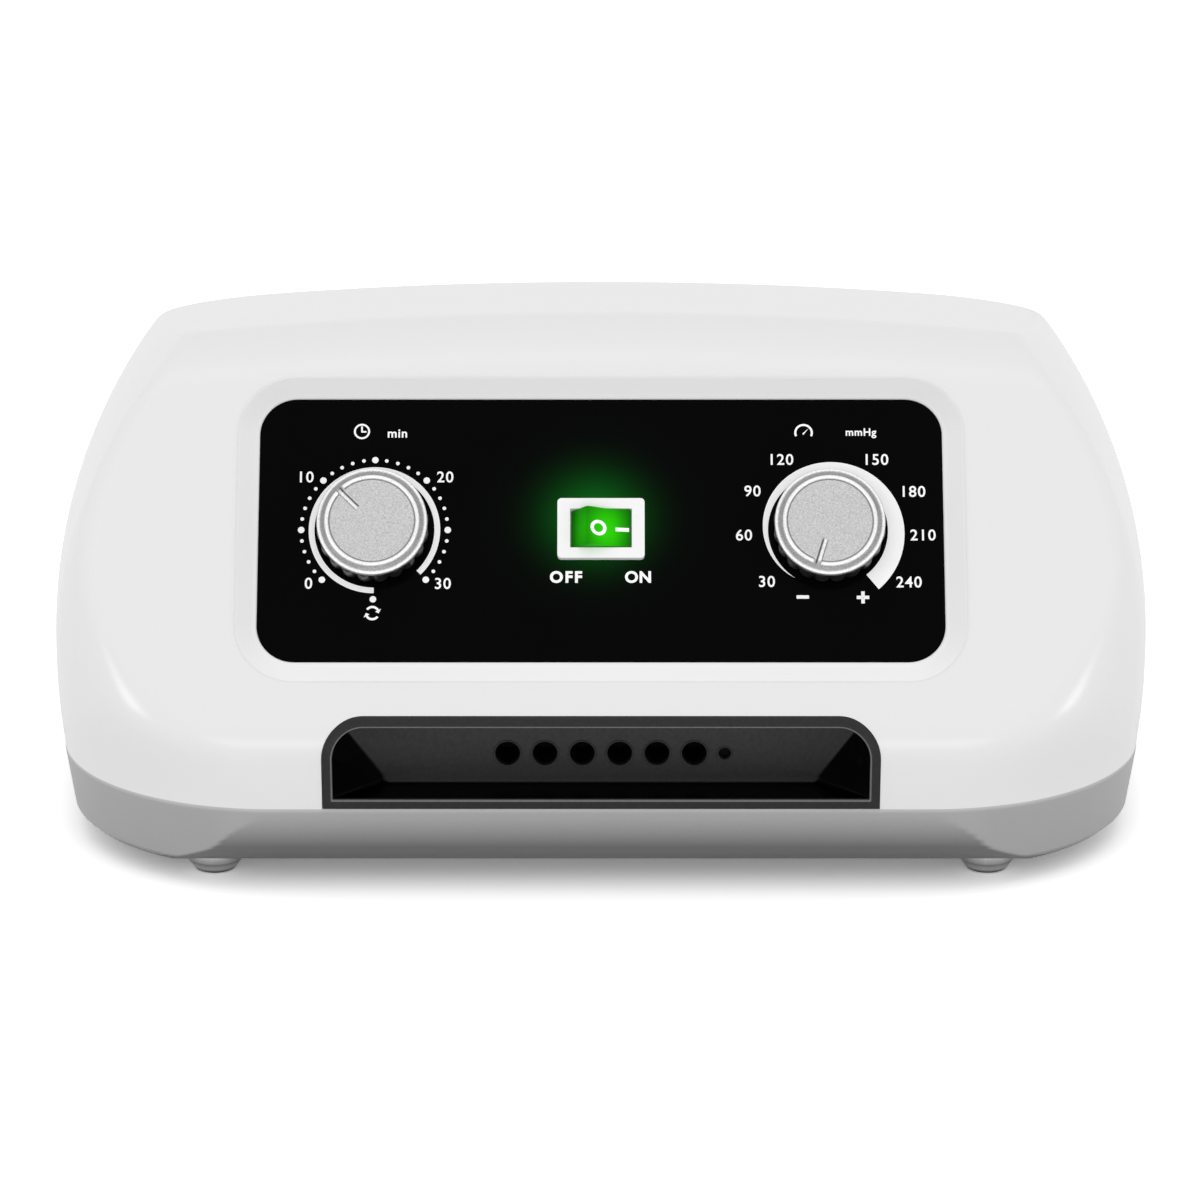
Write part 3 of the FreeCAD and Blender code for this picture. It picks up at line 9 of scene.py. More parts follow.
import bpy
import numpy as np
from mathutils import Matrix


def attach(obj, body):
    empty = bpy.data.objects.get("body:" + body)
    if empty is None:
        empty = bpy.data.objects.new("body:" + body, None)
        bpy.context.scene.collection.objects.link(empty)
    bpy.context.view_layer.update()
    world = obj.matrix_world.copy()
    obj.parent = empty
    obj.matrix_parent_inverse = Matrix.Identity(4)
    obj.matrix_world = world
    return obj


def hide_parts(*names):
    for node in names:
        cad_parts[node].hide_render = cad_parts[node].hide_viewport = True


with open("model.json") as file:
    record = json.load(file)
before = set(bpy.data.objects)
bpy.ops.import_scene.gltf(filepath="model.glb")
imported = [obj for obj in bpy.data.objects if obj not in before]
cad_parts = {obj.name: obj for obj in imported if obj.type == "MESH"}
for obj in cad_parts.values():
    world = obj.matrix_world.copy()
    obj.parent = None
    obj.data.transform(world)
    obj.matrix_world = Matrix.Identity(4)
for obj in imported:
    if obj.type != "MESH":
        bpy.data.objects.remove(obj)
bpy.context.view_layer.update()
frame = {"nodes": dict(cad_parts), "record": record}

MM = 0.001

# Body: plan outline, wall in section, sloping face, arched top, and the rounding of their edges
HALF_WIDTH = 136.68
FRONT, REAR = -84.5, 84.5
SEAM = 21.9
WALL = 2.5
SIDE_BOW = 480.0  # radius of a side in plan
WIDEST = (12.5, 49.0)  # y and z where the body is widest
SIDE_LEAN, SIDE_FLARE = 97.0, 260.0  # radii of a side in section, above and below the widest level
CORNER_LOW, CORNER_HIGH = 56.0, 45.0  # front corners in plan, which tighten with height
CORNER_SPAN = (21.0, 45.0)
REAR_CORNER = 50.0
REAR_LEAD = 12.0  # how far the plan outline runs past the flat rear wall
FACE_POINT = np.array([0.0, -54.687, 83.6])
CREST = np.array([0.0, -24.75, 128.0])
CREST_SLOPE = -17.8
ARCH = 1080.0
CREST_BLEND, CREASE, BEND = 24.0, 6.0, 18.0
BEND_FADE = (50.0, 74.0)  # levels between which the wide bend narrows to the crease

# Panel: origin on the fascia, x to the right, then up the panel, then outwards
TILT = math.radians(34.0)
PANEL_ORIGIN = np.array([0.0, -53.0293, 82.4816])
PANEL_UP = np.array([0.0, math.sin(TILT), math.cos(TILT)])
PANEL_OUT = np.array([0.0, -math.cos(TILT), math.sin(TILT)])
RIGHT = np.array([1.0, 0.0, 0.0])
FORWARD = np.array([0.0, -1.0, 0.0])
UP = np.array([0.0, 0.0, 1.0])
FASCIA_HALF = (82.5, 33.0)
FASCIA_CORNER = 9.0
DIAL_X = 54.9


# Objects and nodes ----

WHITE = (1.0, 1.0, 1.0, 1.0)


def placed(name, data):
    """A new object in the scene."""
    made = bpy.data.objects.new(name, data)
    bpy.context.scene.collection.objects.link(made)
    return made


def node_tree(owner):
    owner.use_nodes = True
    tree = owner.node_tree
    tree.nodes.clear()
    return tree


def feed(tree, socket, value):
    """Gives a socket a plain value or the output of another node."""
    if isinstance(value, bpy.types.NodeSocket):
        tree.links.new(value, socket)
    else:
        socket.default_value = value


def node(tree, kind, inputs=None, **settings):
    """A shader node with its settings and inputs."""
    made = tree.nodes.new("ShaderNode" + kind)
    for name, value in settings.items():
        setattr(made, name, value)
    for name, value in (inputs or {}).items():
        feed(tree, made.inputs[name], value)
    return made


def maths(tree, operation, *sources):
    return node(tree, "Math", dict(enumerate(sources)), operation=operation).outputs[0]


def ray_level(tree, level, in_gloss, otherwise):
    """A value by kind of ray: for the camera and clear pieces, for gloss, and for light."""
    path = node(tree, "LightPath")
    value = otherwise
    for kind, wanted in (("Glossy", in_gloss), ("Transmission", level), ("Camera", level)):
        factor = path.outputs[f"Is {kind} Ray"]
        value = node(tree, "Mix", {"A": value, "B": wanted, "Factor": factor}).outputs["Result"]
    return value


# Camera, light and floor ----

WORLD_LIGHT, WORLD_GLOSS = 0.8, 0.93
FLOOR_CORNERS = [(-6.0, -6.0, 0.0), (6.0, -6.0, 0.0), (6.0, 6.0, 0.0), (-6.0, 6.0, 0.0)]
FLOOR_BOUNCE, FLOOR_GLOSS = 0.78, 0.1
FLOOR_GAIN, FLOOR_LIFT = 1.5, 0.15  # how strongly the camera sees the floor's light, and its own


def studio_camera():
    """Long lens in front of the pump, looking 18 degrees down on it."""
    camera = bpy.data.cameras.new("camera")
    camera.lens = 149.04
    camera.sensor_width = 36.0
    camera.clip_end = 20.0
    holder = placed("camera", camera)
    holder.location = (-0.00024, -1.19699, 0.43644)
    holder.rotation_euler = (math.radians(72.0), 0.0, 0.0)
    bpy.context.scene.camera = holder


def softbox(name, place, aim_level, width, height, radiance):
    """Rectangular lamp aimed at the pump's axis: its power is pi times area times radiance."""
    lamp = bpy.data.lights.new(name, "AREA")
    lamp.shape = "RECTANGLE"
    lamp.size = width
    lamp.size_y = height
    lamp.energy = math.pi * width * height * radiance
    holder = placed(name, lamp)
    holder.location = place
    aim = np.array([0.0, 0.0, aim_level]) - np.array(place, float)
    flat = math.hypot(aim[0], aim[1])
    holder.rotation_euler = (math.atan2(flat, -aim[2]), 0.0, math.atan2(-aim[0], aim[1]))


def studio_world():
    world = bpy.data.worlds.new("studio")
    bpy.context.scene.world = world
    tree = node_tree(world)
    strength = ray_level(tree, 1.0, WORLD_GLOSS, WORLD_LIGHT)
    sky = node(tree, "Background", {"Color": WHITE, "Strength": strength})
    node(tree, "OutputWorld", {"Surface": sky.outputs[0]})


def studio_floor():
    """Wide pale floor: white where it is lit, darker in the pump's shadow, and a mild bounce."""
    mesh = bpy.data.meshes.new("floor")
    mesh.from_pydata(FLOOR_CORNERS, [], [(0, 1, 2, 3)])
    floor = placed("floor", mesh)
    material = bpy.data.materials.new("floor_white")
    tree = node_tree(material)
    body = node(tree, "BsdfDiffuse", {"Color": ray_level(tree, FLOOR_GAIN, 1.0, FLOOR_BOUNCE)})
    lift = ray_level(tree, FLOOR_LIFT, FLOOR_GLOSS, 0.0)
    glow = node(tree, "Emission", {"Color": WHITE, "Strength": lift})
    both = node(tree, "AddShader", {0: body.outputs[0], 1: glow.outputs[0]})
    node(tree, "OutputMaterial", {"Surface": both.outputs[0]})
    mesh.materials.append(material)


studio_camera()
studio_world()
studio_floor()
softbox("lamp_top", (0.0, -0.25, 1.5), 0.05, 1.4, 0.5, 0.4)
softbox("lamp_front", (0.0, -1.6, 0.2), 0.05, 0.9, 0.3, 2.0)
for hand, x in (("left", -1.2), ("right", 1.2)):
    softbox(f"lamp_{hand}", (x, -0.9, 0.13), 0.06, 0.36, 0.22, 5.5)
bpy.context.scene.view_settings.view_transform = "Standard"


# Meshes ----

SHARP = 32.0  # degrees from which an edge stays crisp


def on_panel(local):
    """Panel coordinates to the pump's own: origin plus x right, y up the panel, z outwards."""
    local = np.asarray(local, float)
    return (PANEL_ORIGIN + local[..., 0:1] * RIGHT + local[..., 1:2] * PANEL_UP
            + local[..., 2:3] * PANEL_OUT)


def off_panel(points):
    """Panel coordinates of points in the pump's own: dot products with the panel's three axes."""
    away = points - PANEL_ORIGIN
    return away @ RIGHT, away @ PANEL_UP, away @ PANEL_OUT


def strips(rows, columns):
    """Quads of a grid whose columns close into a ring: two neighbours and the next row's two."""
    index = np.arange(rows * columns).reshape(rows, columns)
    index = np.hstack([index, index[:, :1]])
    quads = np.stack([index[:-1, :-1], index[:-1, 1:], index[1:, 1:], index[1:, :-1]], axis=-1)
    return quads.reshape(-1, 4)


def closed(points, faces):
    """A closed skin turned outwards: its summed triple products, six volumes, are positive."""
    volume = 0.0
    for block in faces:
        first = points[block[:, 0]]
        for k in range(1, block.shape[1] - 1):
            sides = np.cross(points[block[:, k]], points[block[:, k + 1]])
            volume += (first * sides).sum()
    if volume < 0:
        faces = [block[:, ::-1] for block in faces]
    return points, faces


def tube_of_rings(rings):
    """Closed skin from rings of points, shape (rings, columns, 3), each end shut by a flat face."""
    rows, columns = rings.shape[:2]
    first = np.arange(columns)[None, ::-1]
    last = (rows - 1) * columns + np.arange(columns)[None, :]
    return closed(rings.reshape(-1, 3), [strips(rows, columns), first, last])


def loop_of_rings(rings):
    """Closed skin of rings that come back to the first one, as round a frame or a hollow ring."""
    rows, columns = rings.shape[:2]
    quads = strips(rows + 1, columns) % (rows * columns)
    return closed(rings.reshape(-1, 3), [quads])


def turned(profile, columns, wave=None):
    """Profile of (radius, height) carried round an axis; wave(angle, height) adds to the radius."""
    profile = np.asarray(profile, float)
    angle = np.linspace(0, 2 * np.pi, columns, endpoint=False)
    radius, height = (np.repeat(profile[:, [k]], columns, axis=1) for k in (0, 1))
    if wave is not None:
        radius = radius + wave(angle[None, :], height)
    return np.stack([radius * np.cos(angle), radius * np.sin(angle), height], axis=-1)


def laid(skin, x=0.0):
    """A skin in panel coordinates, moved along the panel, in the pump's own."""
    points, faces = skin
    return on_panel(points + np.array([x, 0.0, 0.0])), faces


def mesh_of(name, skins):
    """One mesh, in metres, from closed skins."""
    faces = []
    start = 0
    for points, blocks in skins:
        for block in blocks:
            faces += (block + start).tolist()
        start += len(points)
    mesh = bpy.data.meshes.new(name)
    mesh.from_pydata((np.vstack([points for points, _ in skins]) * MM).tolist(), [], faces)
    return mesh


def shade(mesh, sharp):
    mesh.shade_smooth()
    mesh.set_sharp_from_angle(angle=math.radians(sharp))


def piece(name, skins, body, material, sharp=SHARP, tone=None):
    """One object from closed skins, which rides on a body."""
    mesh = mesh_of(name, skins)
    if tone is not None:
        tone = np.broadcast_to(tone, len(mesh.vertices)).astype(np.float32)
        mesh.attributes.new("tone", "FLOAT", "POINT").data.foreach_set("value", tone)
    mesh.materials.append(material)
    shade(mesh, sharp)
    thing = placed(name, mesh)
    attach(thing, body)
    return thing


def cut_by(thing, skins, retone):
    """Takes closed skins out of a piece.  Fresh corners come without a tone, so retone works the
    tones out again from the old ones and the corners' places."""
    cutter = placed("cutter", mesh_of("cutter", skins))
    cut = thing.modifiers.new("cut", "BOOLEAN")
    cut.operation = "DIFFERENCE"
    cut.solver = "EXACT"
    cut.object = cutter
    graph = bpy.context.evaluated_depsgraph_get()
    result = bpy.data.meshes.new_from_object(thing.evaluated_get(graph))
    thing.modifiers.remove(cut)
    level = np.empty(len(result.vertices), np.float32)
    spots = np.empty(3 * len(level), np.float32)
    tones = result.attributes["tone"].data
    tones.foreach_get("value", level)
    result.vertices.foreach_get("co", spots)
    tones.foreach_set("value", retone(level, spots.reshape(-1, 3) / MM).astype(np.float32))
    old = thing.data
    thing.data = result
    result.name = old.name
    for mesh in (old, cutter.data):  # the cutter goes with its mesh
        bpy.data.meshes.remove(mesh)
    shade(result, SHARP)


def filled(tone):
    """Gives the fresh corners of a cut the piece's own tone."""
    return lambda level, spots: np.where(level < 0.2 * tone, tone, level)


# Forms: each gives the distance outside a surface and the unit normal there ----

def dot(a, b):
    return (a * b).sum(axis=-1)


def ease(share):
    """Smooth step from 0 to 1: three squares less two cubes."""
    return share * share * (3 - 2 * share)


def blend(first, second, radius):
    """Rounds the edge of two surfaces.  A ball of the radius rolls along it: with A and B the two
    distances plus the radius and c the normals' dot product, the gap to the ball's centre line is
    the root of (A2 + B2 - 2ABc) / (1 - c2)."""
    (a, na), (b, nb) = first, second
    c = np.clip(dot(na, nb), -0.99, 1.0)
    spread = np.maximum(1 - c ** 2, 1e-6)
    A = a + radius
    B = b + radius
    p = (A - B * c) / spread
    q = (B - A * c) / spread
    rolled = (p > 0) & (q > 0) & (spread > 1e-3)
    away = p[..., None] * na + q[..., None] * nb
    size = np.maximum(np.linalg.norm(away, axis=-1), 1e-9)
    normal = np.where((a > b)[..., None], na, nb)
    value = np.where(rolled, size - radius, np.maximum(a, b))
    return value, np.where(rolled[..., None], away / size[..., None], normal)


def plane(points, through, normal):
    """Distance along the normal from a point of the plane."""
    normal = np.asarray(normal, float)
    return (points - through) @ normal, np.broadcast_to(normal, points.shape)


def plan(points, corner):
    """How far inside the plan outline points lie, and the outward normal in plan.  The outline is a
    straight front and rear, sides on one large circle, and corner circles tangent to both."""
    x, y = np.abs(points[..., 0]), points[..., 1]
    bow_x = HALF_WIDTH - SIDE_BOW
    rear_line = REAR + REAR_LEAD
    flat = y - FRONT
    reach = np.maximum(np.hypot(x - bow_x, y - WIDEST[0]), 1e-9)
    bow = SIDE_BOW - reach
    depth = np.minimum(np.minimum(flat, rear_line - y), bow)
    nx = np.where(depth == bow, (x - bow_x) / reach, 0.0)
    ny = np.where(depth == bow, (y - WIDEST[0]) / reach, np.where(depth == flat, -1.0, 1.0))
    for radius, line, sign in ((corner, FRONT, -1.0), (REAR_CORNER, rear_line, 1.0)):
        cy = line - sign * radius
        cx = bow_x + np.sqrt((SIDE_BOW - radius) ** 2 - (cy - WIDEST[0]) ** 2)
        turn = (cx - bow_x) * (y - WIDEST[0]) - (cy - WIDEST[0]) * (x - bow_x)
        inside = (x > cx) & (sign * turn > 0)
        gap = np.maximum(np.hypot(x - cx, y - cy), 1e-9)
        depth = np.where(inside, radius - gap, depth)
        nx = np.where(inside, (x - cx) / gap, nx)
        ny = np.where(inside, (y - cy) / gap, ny)
    return depth, nx * np.sign(points[..., 0] + 1e-12), ny


def side_wall(points):
    """Wall that bows outwards up to its widest level and leans in above it: a circle in section,
    swept round the plan outline, whose front corners tighten with height."""
    z = points[..., 2]
    share = ease(np.clip((z - CORNER_SPAN[0]) / (CORNER_SPAN[1] - CORNER_SPAN[0]), 0, 1))
    depth, nx, ny = plan(points, CORNER_LOW + (CORNER_HIGH - CORNER_LOW) * share)
    rise = z - WIDEST[1]
    bow = np.where(rise > 0, SIDE_LEAN, SIDE_FLARE)
    inwards = bow - depth
    size = np.maximum(np.hypot(inwards, rise), 1e-9)
    return size - bow, np.stack([nx * inwards / size, ny * inwards / size, rise / size], axis=-1)


def arch(points):
    """Top on one large cylinder that slopes to the rear: reach from its axis less its radius."""
    slope = np.array([0.0, REAR - CREST[1], CREST_SLOPE])
    slope /= np.linalg.norm(slope)
    up = np.array([0.0, -slope[2], slope[1]])
    away = points - (CREST - up * ARCH)
    across = away - (away @ slope)[..., None] * slope
    size = np.linalg.norm(across, axis=-1)
    return size - ARCH, across / size[..., None]


def body_form(points):
    """Face, arched top, side and rear walls, with every edge rounded: crisply up high, widely where
    the face bends into the front."""
    top = blend(plane(points, FACE_POINT, PANEL_OUT), arch(points), CREST_BLEND)
    walls = blend(side_wall(points), plane(points, np.array([0, REAR, 0]), (0, 1, 0)), CREASE)
    low = np.clip((BEND_FADE[1] - points[..., 2]) / (BEND_FADE[1] - BEND_FADE[0]), 0, 1)
    low = ease(low) * np.clip(-points[..., 1] / 20.0, 0, 1)
    return blend(top, walls, CREASE + (BEND - CREASE) * low)


def rounded_distance(x, y, half, corner):
    """Distance outside a rounded rectangle in its plane, with its gradient."""
    ox = np.abs(x) - (half[0] - corner)
    oy = np.abs(y) - (half[1] - corner)
    px, py = np.maximum(ox, 0), np.maximum(oy, 0)
    size = np.hypot(px, py)
    outside = size > 1e-9
    inner = np.minimum(np.maximum(ox, oy), 0)
    safe = np.where(outside, size, 1)
    gx = np.where(outside, px / safe, (ox >= oy) * 1.0) * np.sign(x)
    gy = np.where(outside, py / safe, (ox < oy) * 1.0) * np.sign(y)
    return size + inner - corner, gx, gy


BEVEL_SLOPE = 2.0 / 6.3
BEVEL_EDGE = 5.0


def bevel_height(q):
    """Height of the recess border above the fascia: a slope with a bead at its inner edge and a low
    step near its outer edge."""
    bead = 0.22 * np.exp(-((q - 0.45) / 0.28) ** 2)
    step = 0.10 * np.clip((q - 5.1) / 0.3, 0, 1)
    return q * BEVEL_SLOPE + bead + step


def bevel(points):
    """Border of the recess: how far a point is above its height, over the root of one plus its
    slope squared."""
    x, y, h = off_panel(points)
    q, gx, gy = rounded_distance(x, y, FASCIA_HALF, FASCIA_CORNER)
    q = np.maximum(q, 0)
    slope = (bevel_height(q + 0.02) - bevel_height(q - 0.02)) / 0.04
    steep = np.sqrt(1 + slope ** 2)
    normal = PANEL_OUT - slope[..., None] * (gx[..., None] * RIGHT + gy[..., None] * PANEL_UP)
    return (h - bevel_height(q)) / steep, normal / steep[..., None]


def cover_form(points):
    """The body, rounded into the border of the recess."""
    return blend(body_form(points), bevel(points), BEVEL_EDGE)


# Rings and outlines ----

REACH = 260.0  # longest ray
HALVINGS = 26
RUN_POINTS = 200  # points on each straight and each turn of a rounded rectangle
COLUMNS = 400  # points round the cover and the tray
START_ROWS = 220  # rows of the first, even sweep of a net
TURN_WORTH = 40.0  # length that a turn of one radian counts for


def leave(form, starts, rays, reach, level=0.0):
    """Where rays leave a form: the distance is bracketed, then halved until it is fine."""
    shape = np.broadcast_shapes(np.shape(starts), np.shape(rays))[:-1]
    low = np.zeros(shape)
    high = np.full(shape, float(reach))
    for _ in range(HALVINGS):
        middle = (low + high) / 2
        inside = form(starts + middle[..., None] * rays)[0] < level
        low = np.where(inside, middle, low)
        high = np.where(inside, high, middle)
    return starts + ((low + high) / 2)[..., None] * rays


def measured(values, weights, rows):
    """Per column, the places where a running total reaches even steps: each column is read off its
    own stretch of one long rising line."""
    columns = values.shape[1]
    total = np.vstack([np.zeros((1, columns)), np.cumsum(weights, axis=0)])
    total /= total[-1]
    offset = 2.0 * np.arange(columns)
    wanted = np.linspace(0, 1, rows)[:, None] + offset
    found = np.interp(wanted.T.ravel(), (total + offset).T.ravel(), values.T.ravel())
    return found.reshape(columns, rows).T


def net(form, centre, first, last, rows, inner_rows):
    """Rings on a form between two rings of points.  Rays from the centre sweep from one ring to the
    other at even turns; rings gather where the surface bends, by length plus a share of turning.
    Some of the rays also give the wall's inner side."""
    a = first - centre
    b = last - centre
    a /= np.linalg.norm(a, axis=-1, keepdims=True)
    b /= np.linalg.norm(b, axis=-1, keepdims=True)
    angle = np.arccos(np.clip(dot(a, b), -1, 1))

    def rays(share):
        wide = np.sin(angle)
        return ((np.sin((1 - share) * angle) / wide)[..., None] * a
                + (np.sin(share * angle) / wide)[..., None] * b)

    share = np.repeat(np.linspace(0, 1, START_ROWS)[:, None], len(first), axis=1)
    points = leave(form, centre, rays(share), REACH)
    normals = form(points)[1]
    length = np.linalg.norm(np.diff(points, axis=0), axis=-1)
    turning = np.arccos(np.clip(dot(normals[1:], normals[:-1]), -1, 1))
    share = measured(share, length + TURN_WORTH * turning, rows)
    share = np.stack([np.roll(share, k, axis=1) for k in range(-6, 7)]).mean(axis=0)
    kept = np.unique(np.round(np.linspace(0, rows - 1, inner_rows)).astype(int))
    inner = leave(form, centre, rays(share)[kept], REACH, -WALL)
    return leave(form, centre, rays(share), REACH), inner


def evenly(path, *carried):
    """Points at even steps along a path, and what is carried along with it."""
    run = np.concatenate([[0], np.cumsum(np.linalg.norm(np.diff(path, axis=0), axis=1))])
    wanted = np.linspace(0, run[-1], COLUMNS, endpoint=False)
    return [np.stack([np.interp(wanted, run, line) for line in values.T], axis=-1)
            for values in (path, *carried)]


def rounded_ring(half, corner):
    """Points spaced evenly round a rounded rectangle from the middle of its top, clockwise, and the
    way outwards at each: straight runs, each but the last with a quarter turn after it."""
    w, t = half[0] - corner, half[1] - corner
    share = np.linspace(0, 1, RUN_POINTS)
    runs = []
    for start, end, way, heading in (
            ((0, t), (w, t), (0, 1), 90), ((w, t), (w, -t), (1, 0), 0),
            ((w, -t), (-w, -t), (0, -1), 270), ((-w, -t), (-w, t), (-1, 0), 180),
            ((-w, t), (0, t), (0, 1), None)):
        line = np.array(start) + share[:, None] * (np.array(end) - np.array(start))
        runs.append((line, np.repeat([way], RUN_POINTS, axis=0).astype(float)))
        if heading is not None:
            angle = np.radians(heading - 90 * share)
            runs.append((np.array(end), np.stack([np.cos(angle), np.sin(angle)], axis=-1)))
    places = np.vstack([base + corner * way for base, way in runs])
    place, way = evenly(places, np.vstack([way for _, way in runs]))
    return place, way / np.linalg.norm(way, axis=1, keepdims=True)


def level_ring(form, z, inset=0.0):
    """Points evenly spaced round a form at one level, from the middle of the rear, clockwise."""
    angle = np.linspace(0, 2 * np.pi, 4000)
    rays = np.stack([np.sin(angle), np.cos(angle), 0 * angle], axis=-1)
    return evenly(leave(form, np.array([0.0, 0.0, z]), rays, REACH, -inset))[0]


def prism(outline, low, high, lie="panel"):
    """Cutter with the outline as its section: along the panel's normal, along y, or along z."""
    rings = np.zeros((2, len(outline), 3))
    rings[0, :, 2], rings[1, :, 2] = low, high
    rings[:, :, :2] = outline
    if lie == "panel":
        rings = on_panel(rings)
    elif lie == "y":
        rings = rings[..., [0, 2, 1]]
    return tube_of_rings(rings)


def slot_outline(x, y, half_x, half_y, steps=10):
    """Slot with round ends, longer along y."""
    angle = np.linspace(0, np.pi, steps)
    top = np.stack([np.cos(angle) * half_x, np.sin(angle) * half_x + half_y - half_x], axis=-1)
    return np.vstack([top, -top]) + (x, y)


def circle_outline(x, y, radius, steps=48):
    """Cosine and sine of even angles, times the radius."""
    angle = np.linspace(0, 2 * np.pi, steps, endpoint=False)
    return np.stack([x + radius * np.cos(angle), y + radius * np.sin(angle)], axis=-1)


def rectangle_outline(x, y, half_x, half_y, corner=0.4, steps=6):
    """A quarter circle at each corner, turned by quarters."""
    angle = np.linspace(0, np.pi / 2, steps)
    turn = np.stack([np.cos(angle), np.sin(angle)], axis=-1) * corner
    core = np.array([half_x - corner, half_y - corner])
    parts = []
    for c, s in ((1, 0), (0, 1), (-1, 0), (0, -1)):
        spin = np.stack([turn[:, 0] * c - turn[:, 1] * s, turn[:, 0] * s + turn[:, 1] * c], axis=-1)
        parts.append(spin + core * np.array([c - s, c + s]))
    return np.vstack(parts) + (x, y)


def arched_outline(half_low, half_high, low, high, corner_low, corner_high, steps=14):
    """Bay outline in x and z, as many points on each run: two lower corners, two upper ones."""
    angle = np.linspace(0, np.pi / 2, steps)
    lower, upper = (-1, half_low, low, corner_low), (1, half_high, high, corner_high)
    parts = []
    for sx, (sz, half, level, corner) in ((1, lower), (1, upper), (-1, upper), (-1, lower)):
        turn = angle if sx * sz < 0 else np.pi / 2 - angle
        px = sx * (half - corner + corner * np.sin(turn))
        pz = level - sz * corner + sz * corner * np.cos(turn)
        parts.append(np.stack([px, pz], axis=-1))
    return np.vstack(parts)


def upright(outline, y):
    """Outline in x and z, stood up at one depth."""
    return np.stack([outline[:, 0], np.full(len(outline), y), outline[:, 1]], axis=-1)


def posts(places, outer, bore, low, high):
    """Screw posts: plain tubes between two levels."""
    section = [(bore, low), (outer, low), (outer, high), (bore, high)]
    return [loop_of_rings(turned(section, 40) + np.array([x, y, 0.0])) for x, y in places]


# Top cover ----

COVER_CENTRE = np.array([0.0, -8.0, 58.0])
# Rings of the recess, outwards from the fascia
BORDER = np.array([
    0.12, 0.25, 0.4, 0.6, 0.8, 1.1, 1.6, 2.4, 3.2, 4.0, 4.6, 4.95, 5.12, 5.25, 5.4, 5.6, 5.9, 6.3,
    6.8, 7.4, 8.1, 9.0, 10.0])
POSTS = [(x, y) for x in (-104.0, 104.0) for y in (-44.0, 44.0)]
POST_RADIUS = 5.0
VENTS = [60.0 + 7.0 * (k - 4) for k in range(9)]
INLET = (-88.0, 52.0)
SHAFT_HOLE = 4.65
SWITCH_HOLE = (9.65, 6.65)
BAY_HALF = 66.5
BAY_TOP = 44.6
BAY_CORNER = 9.7
BAY_GAP = 0.15
COVER_TONE = 0.925


def inlet_seat():
    """Cutter of the mains inlet: its body's hole, then the wider seat of its flange."""
    hole = rectangle_outline(*INLET, 13.6, 10.0, 1.0)
    seat = rectangle_outline(*INLET, 15.65, 12.15, 2.0)
    steps = ((hole, 74.0), (hole, 82.4), (seat, 82.4), (seat, 95.0))
    return tube_of_rings(np.stack([upright(outline, y) for outline, y in steps]))


def top_cover(material):
    """White cover: a closed shell of rings from its inner crown down to the seam and back up the
    outside to the floor of the panel's pocket.  Its tone paints shade on the recess border's top
    and sides, and a highlight on its bottom."""
    place, way = rounded_ring(FASCIA_HALF, FASCIA_CORNER)

    def panel_ring(outwards, height):
        return on_panel(np.column_stack([place + outwards * way, np.full(COLUMNS, height)]))

    edge = leave(cover_form, np.stack([panel_ring(step, -5.0) for step in BORDER]), PANEL_OUT, 12.0)
    skin, inner = net(body_form, COVER_CENTRE, edge[-1], level_ring(body_form, SEAM), 128, 26)
    inner[-1] = level_ring(body_form, SEAM, WALL)
    rings = np.concatenate([panel_ring(3.0, -4.5)[None], inner, skin[::-1], edge[::-1][1:],
                            panel_ring(0.12, -1.5)[None]])
    tone = np.full(rings.shape[:2], COVER_TONE)
    # Painted shade on the recess border's top and sides and a painted highlight on its bottom, by
    # the way outwards at each column
    border_painted_light = (np.maximum(way[:, 1], 0) * -0.1 + np.maximum(-way[:, 1], 0) * 0.07
            - np.abs(way[:, 0]) * 0.03)
    tone[-len(BORDER):-1] *= 1 + np.clip((5.25 - BORDER[::-1][1:]) / 0.2, 0, 1)[:, None] * border_painted_light
    tone[-1] *= 1 + border_painted_light
    cover = piece("top_cover_shell", [tube_of_rings(rings)], "chassis", material, tone=tone.ravel())
    bay = arched_outline(BAY_HALF + BAY_GAP, BAY_HALF + BAY_GAP, 15.0, BAY_TOP + BAY_GAP, 0.3,
                         BAY_CORNER + BAY_GAP)
    cuts = [prism(bay, -100.0, -70.0, "y"), inlet_seat()]
    cuts += [prism(outline, -8.0, 3.0) for outline in (
        circle_outline(-DIAL_X, 0, SHAFT_HOLE), circle_outline(DIAL_X, 0, SHAFT_HOLE),
        rectangle_outline(0, 0, *SWITCH_HOLE))]
    cuts += [prism(slot_outline(x, 52.0, 1.2, 15.0), 76.0, 95.0, "y") for x in VENTS]
    cut_by(cover, cuts, filled(COVER_TONE))
    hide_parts("top_cover")
    pillars = []
    for x, y in POSTS:
        start = np.column_stack([circle_outline(x, y, POST_RADIUS, 12), np.full(12, 30.0)])
        roof = leave(body_form, start, UP, 120.0, -1.2)
        pillars += posts([(x, y)], POST_RADIUS, 1.5, 24.2, roof[:, 2].min())
    pillars = piece("top_cover_posts", pillars, "chassis", material, tone=COVER_TONE)
    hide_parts("top_cover")


# Base tray ----

TRAY_CENTRE = np.array([0.0, 0.0, 40.0])
TRAY_TOP = 21.0
TRAY_RIM = 20.9
TRAY_REAR = 82.99
TRAY_INSET = 1.4
TRAY_DRAFT = math.radians(8.5)
TRAY_ROLL = 17.0
ROLL_AXIS = 66.0
TRAY_FLOOR = 5.0
TRAY_CHAMFER = 2.0
TRAY_TONE = 0.67


def tray_side(points):
    """Side with the draft of a moulding, which fades out towards the front and the rear."""
    z = points[..., 2]
    depth, nx, ny = plan(points, np.full(z.shape, CORNER_LOW))
    draft = TRAY_DRAFT * (1 - ease(np.clip((np.abs(ny) - 0.955) / 0.035, 0, 1)))
    inset = TRAY_INSET + (TRAY_TOP - z) * np.tan(draft)
    normal = np.stack([nx * np.cos(draft), ny * np.cos(draft), -np.sin(draft)], axis=-1)
    return (inset - depth) * np.cos(draft), normal


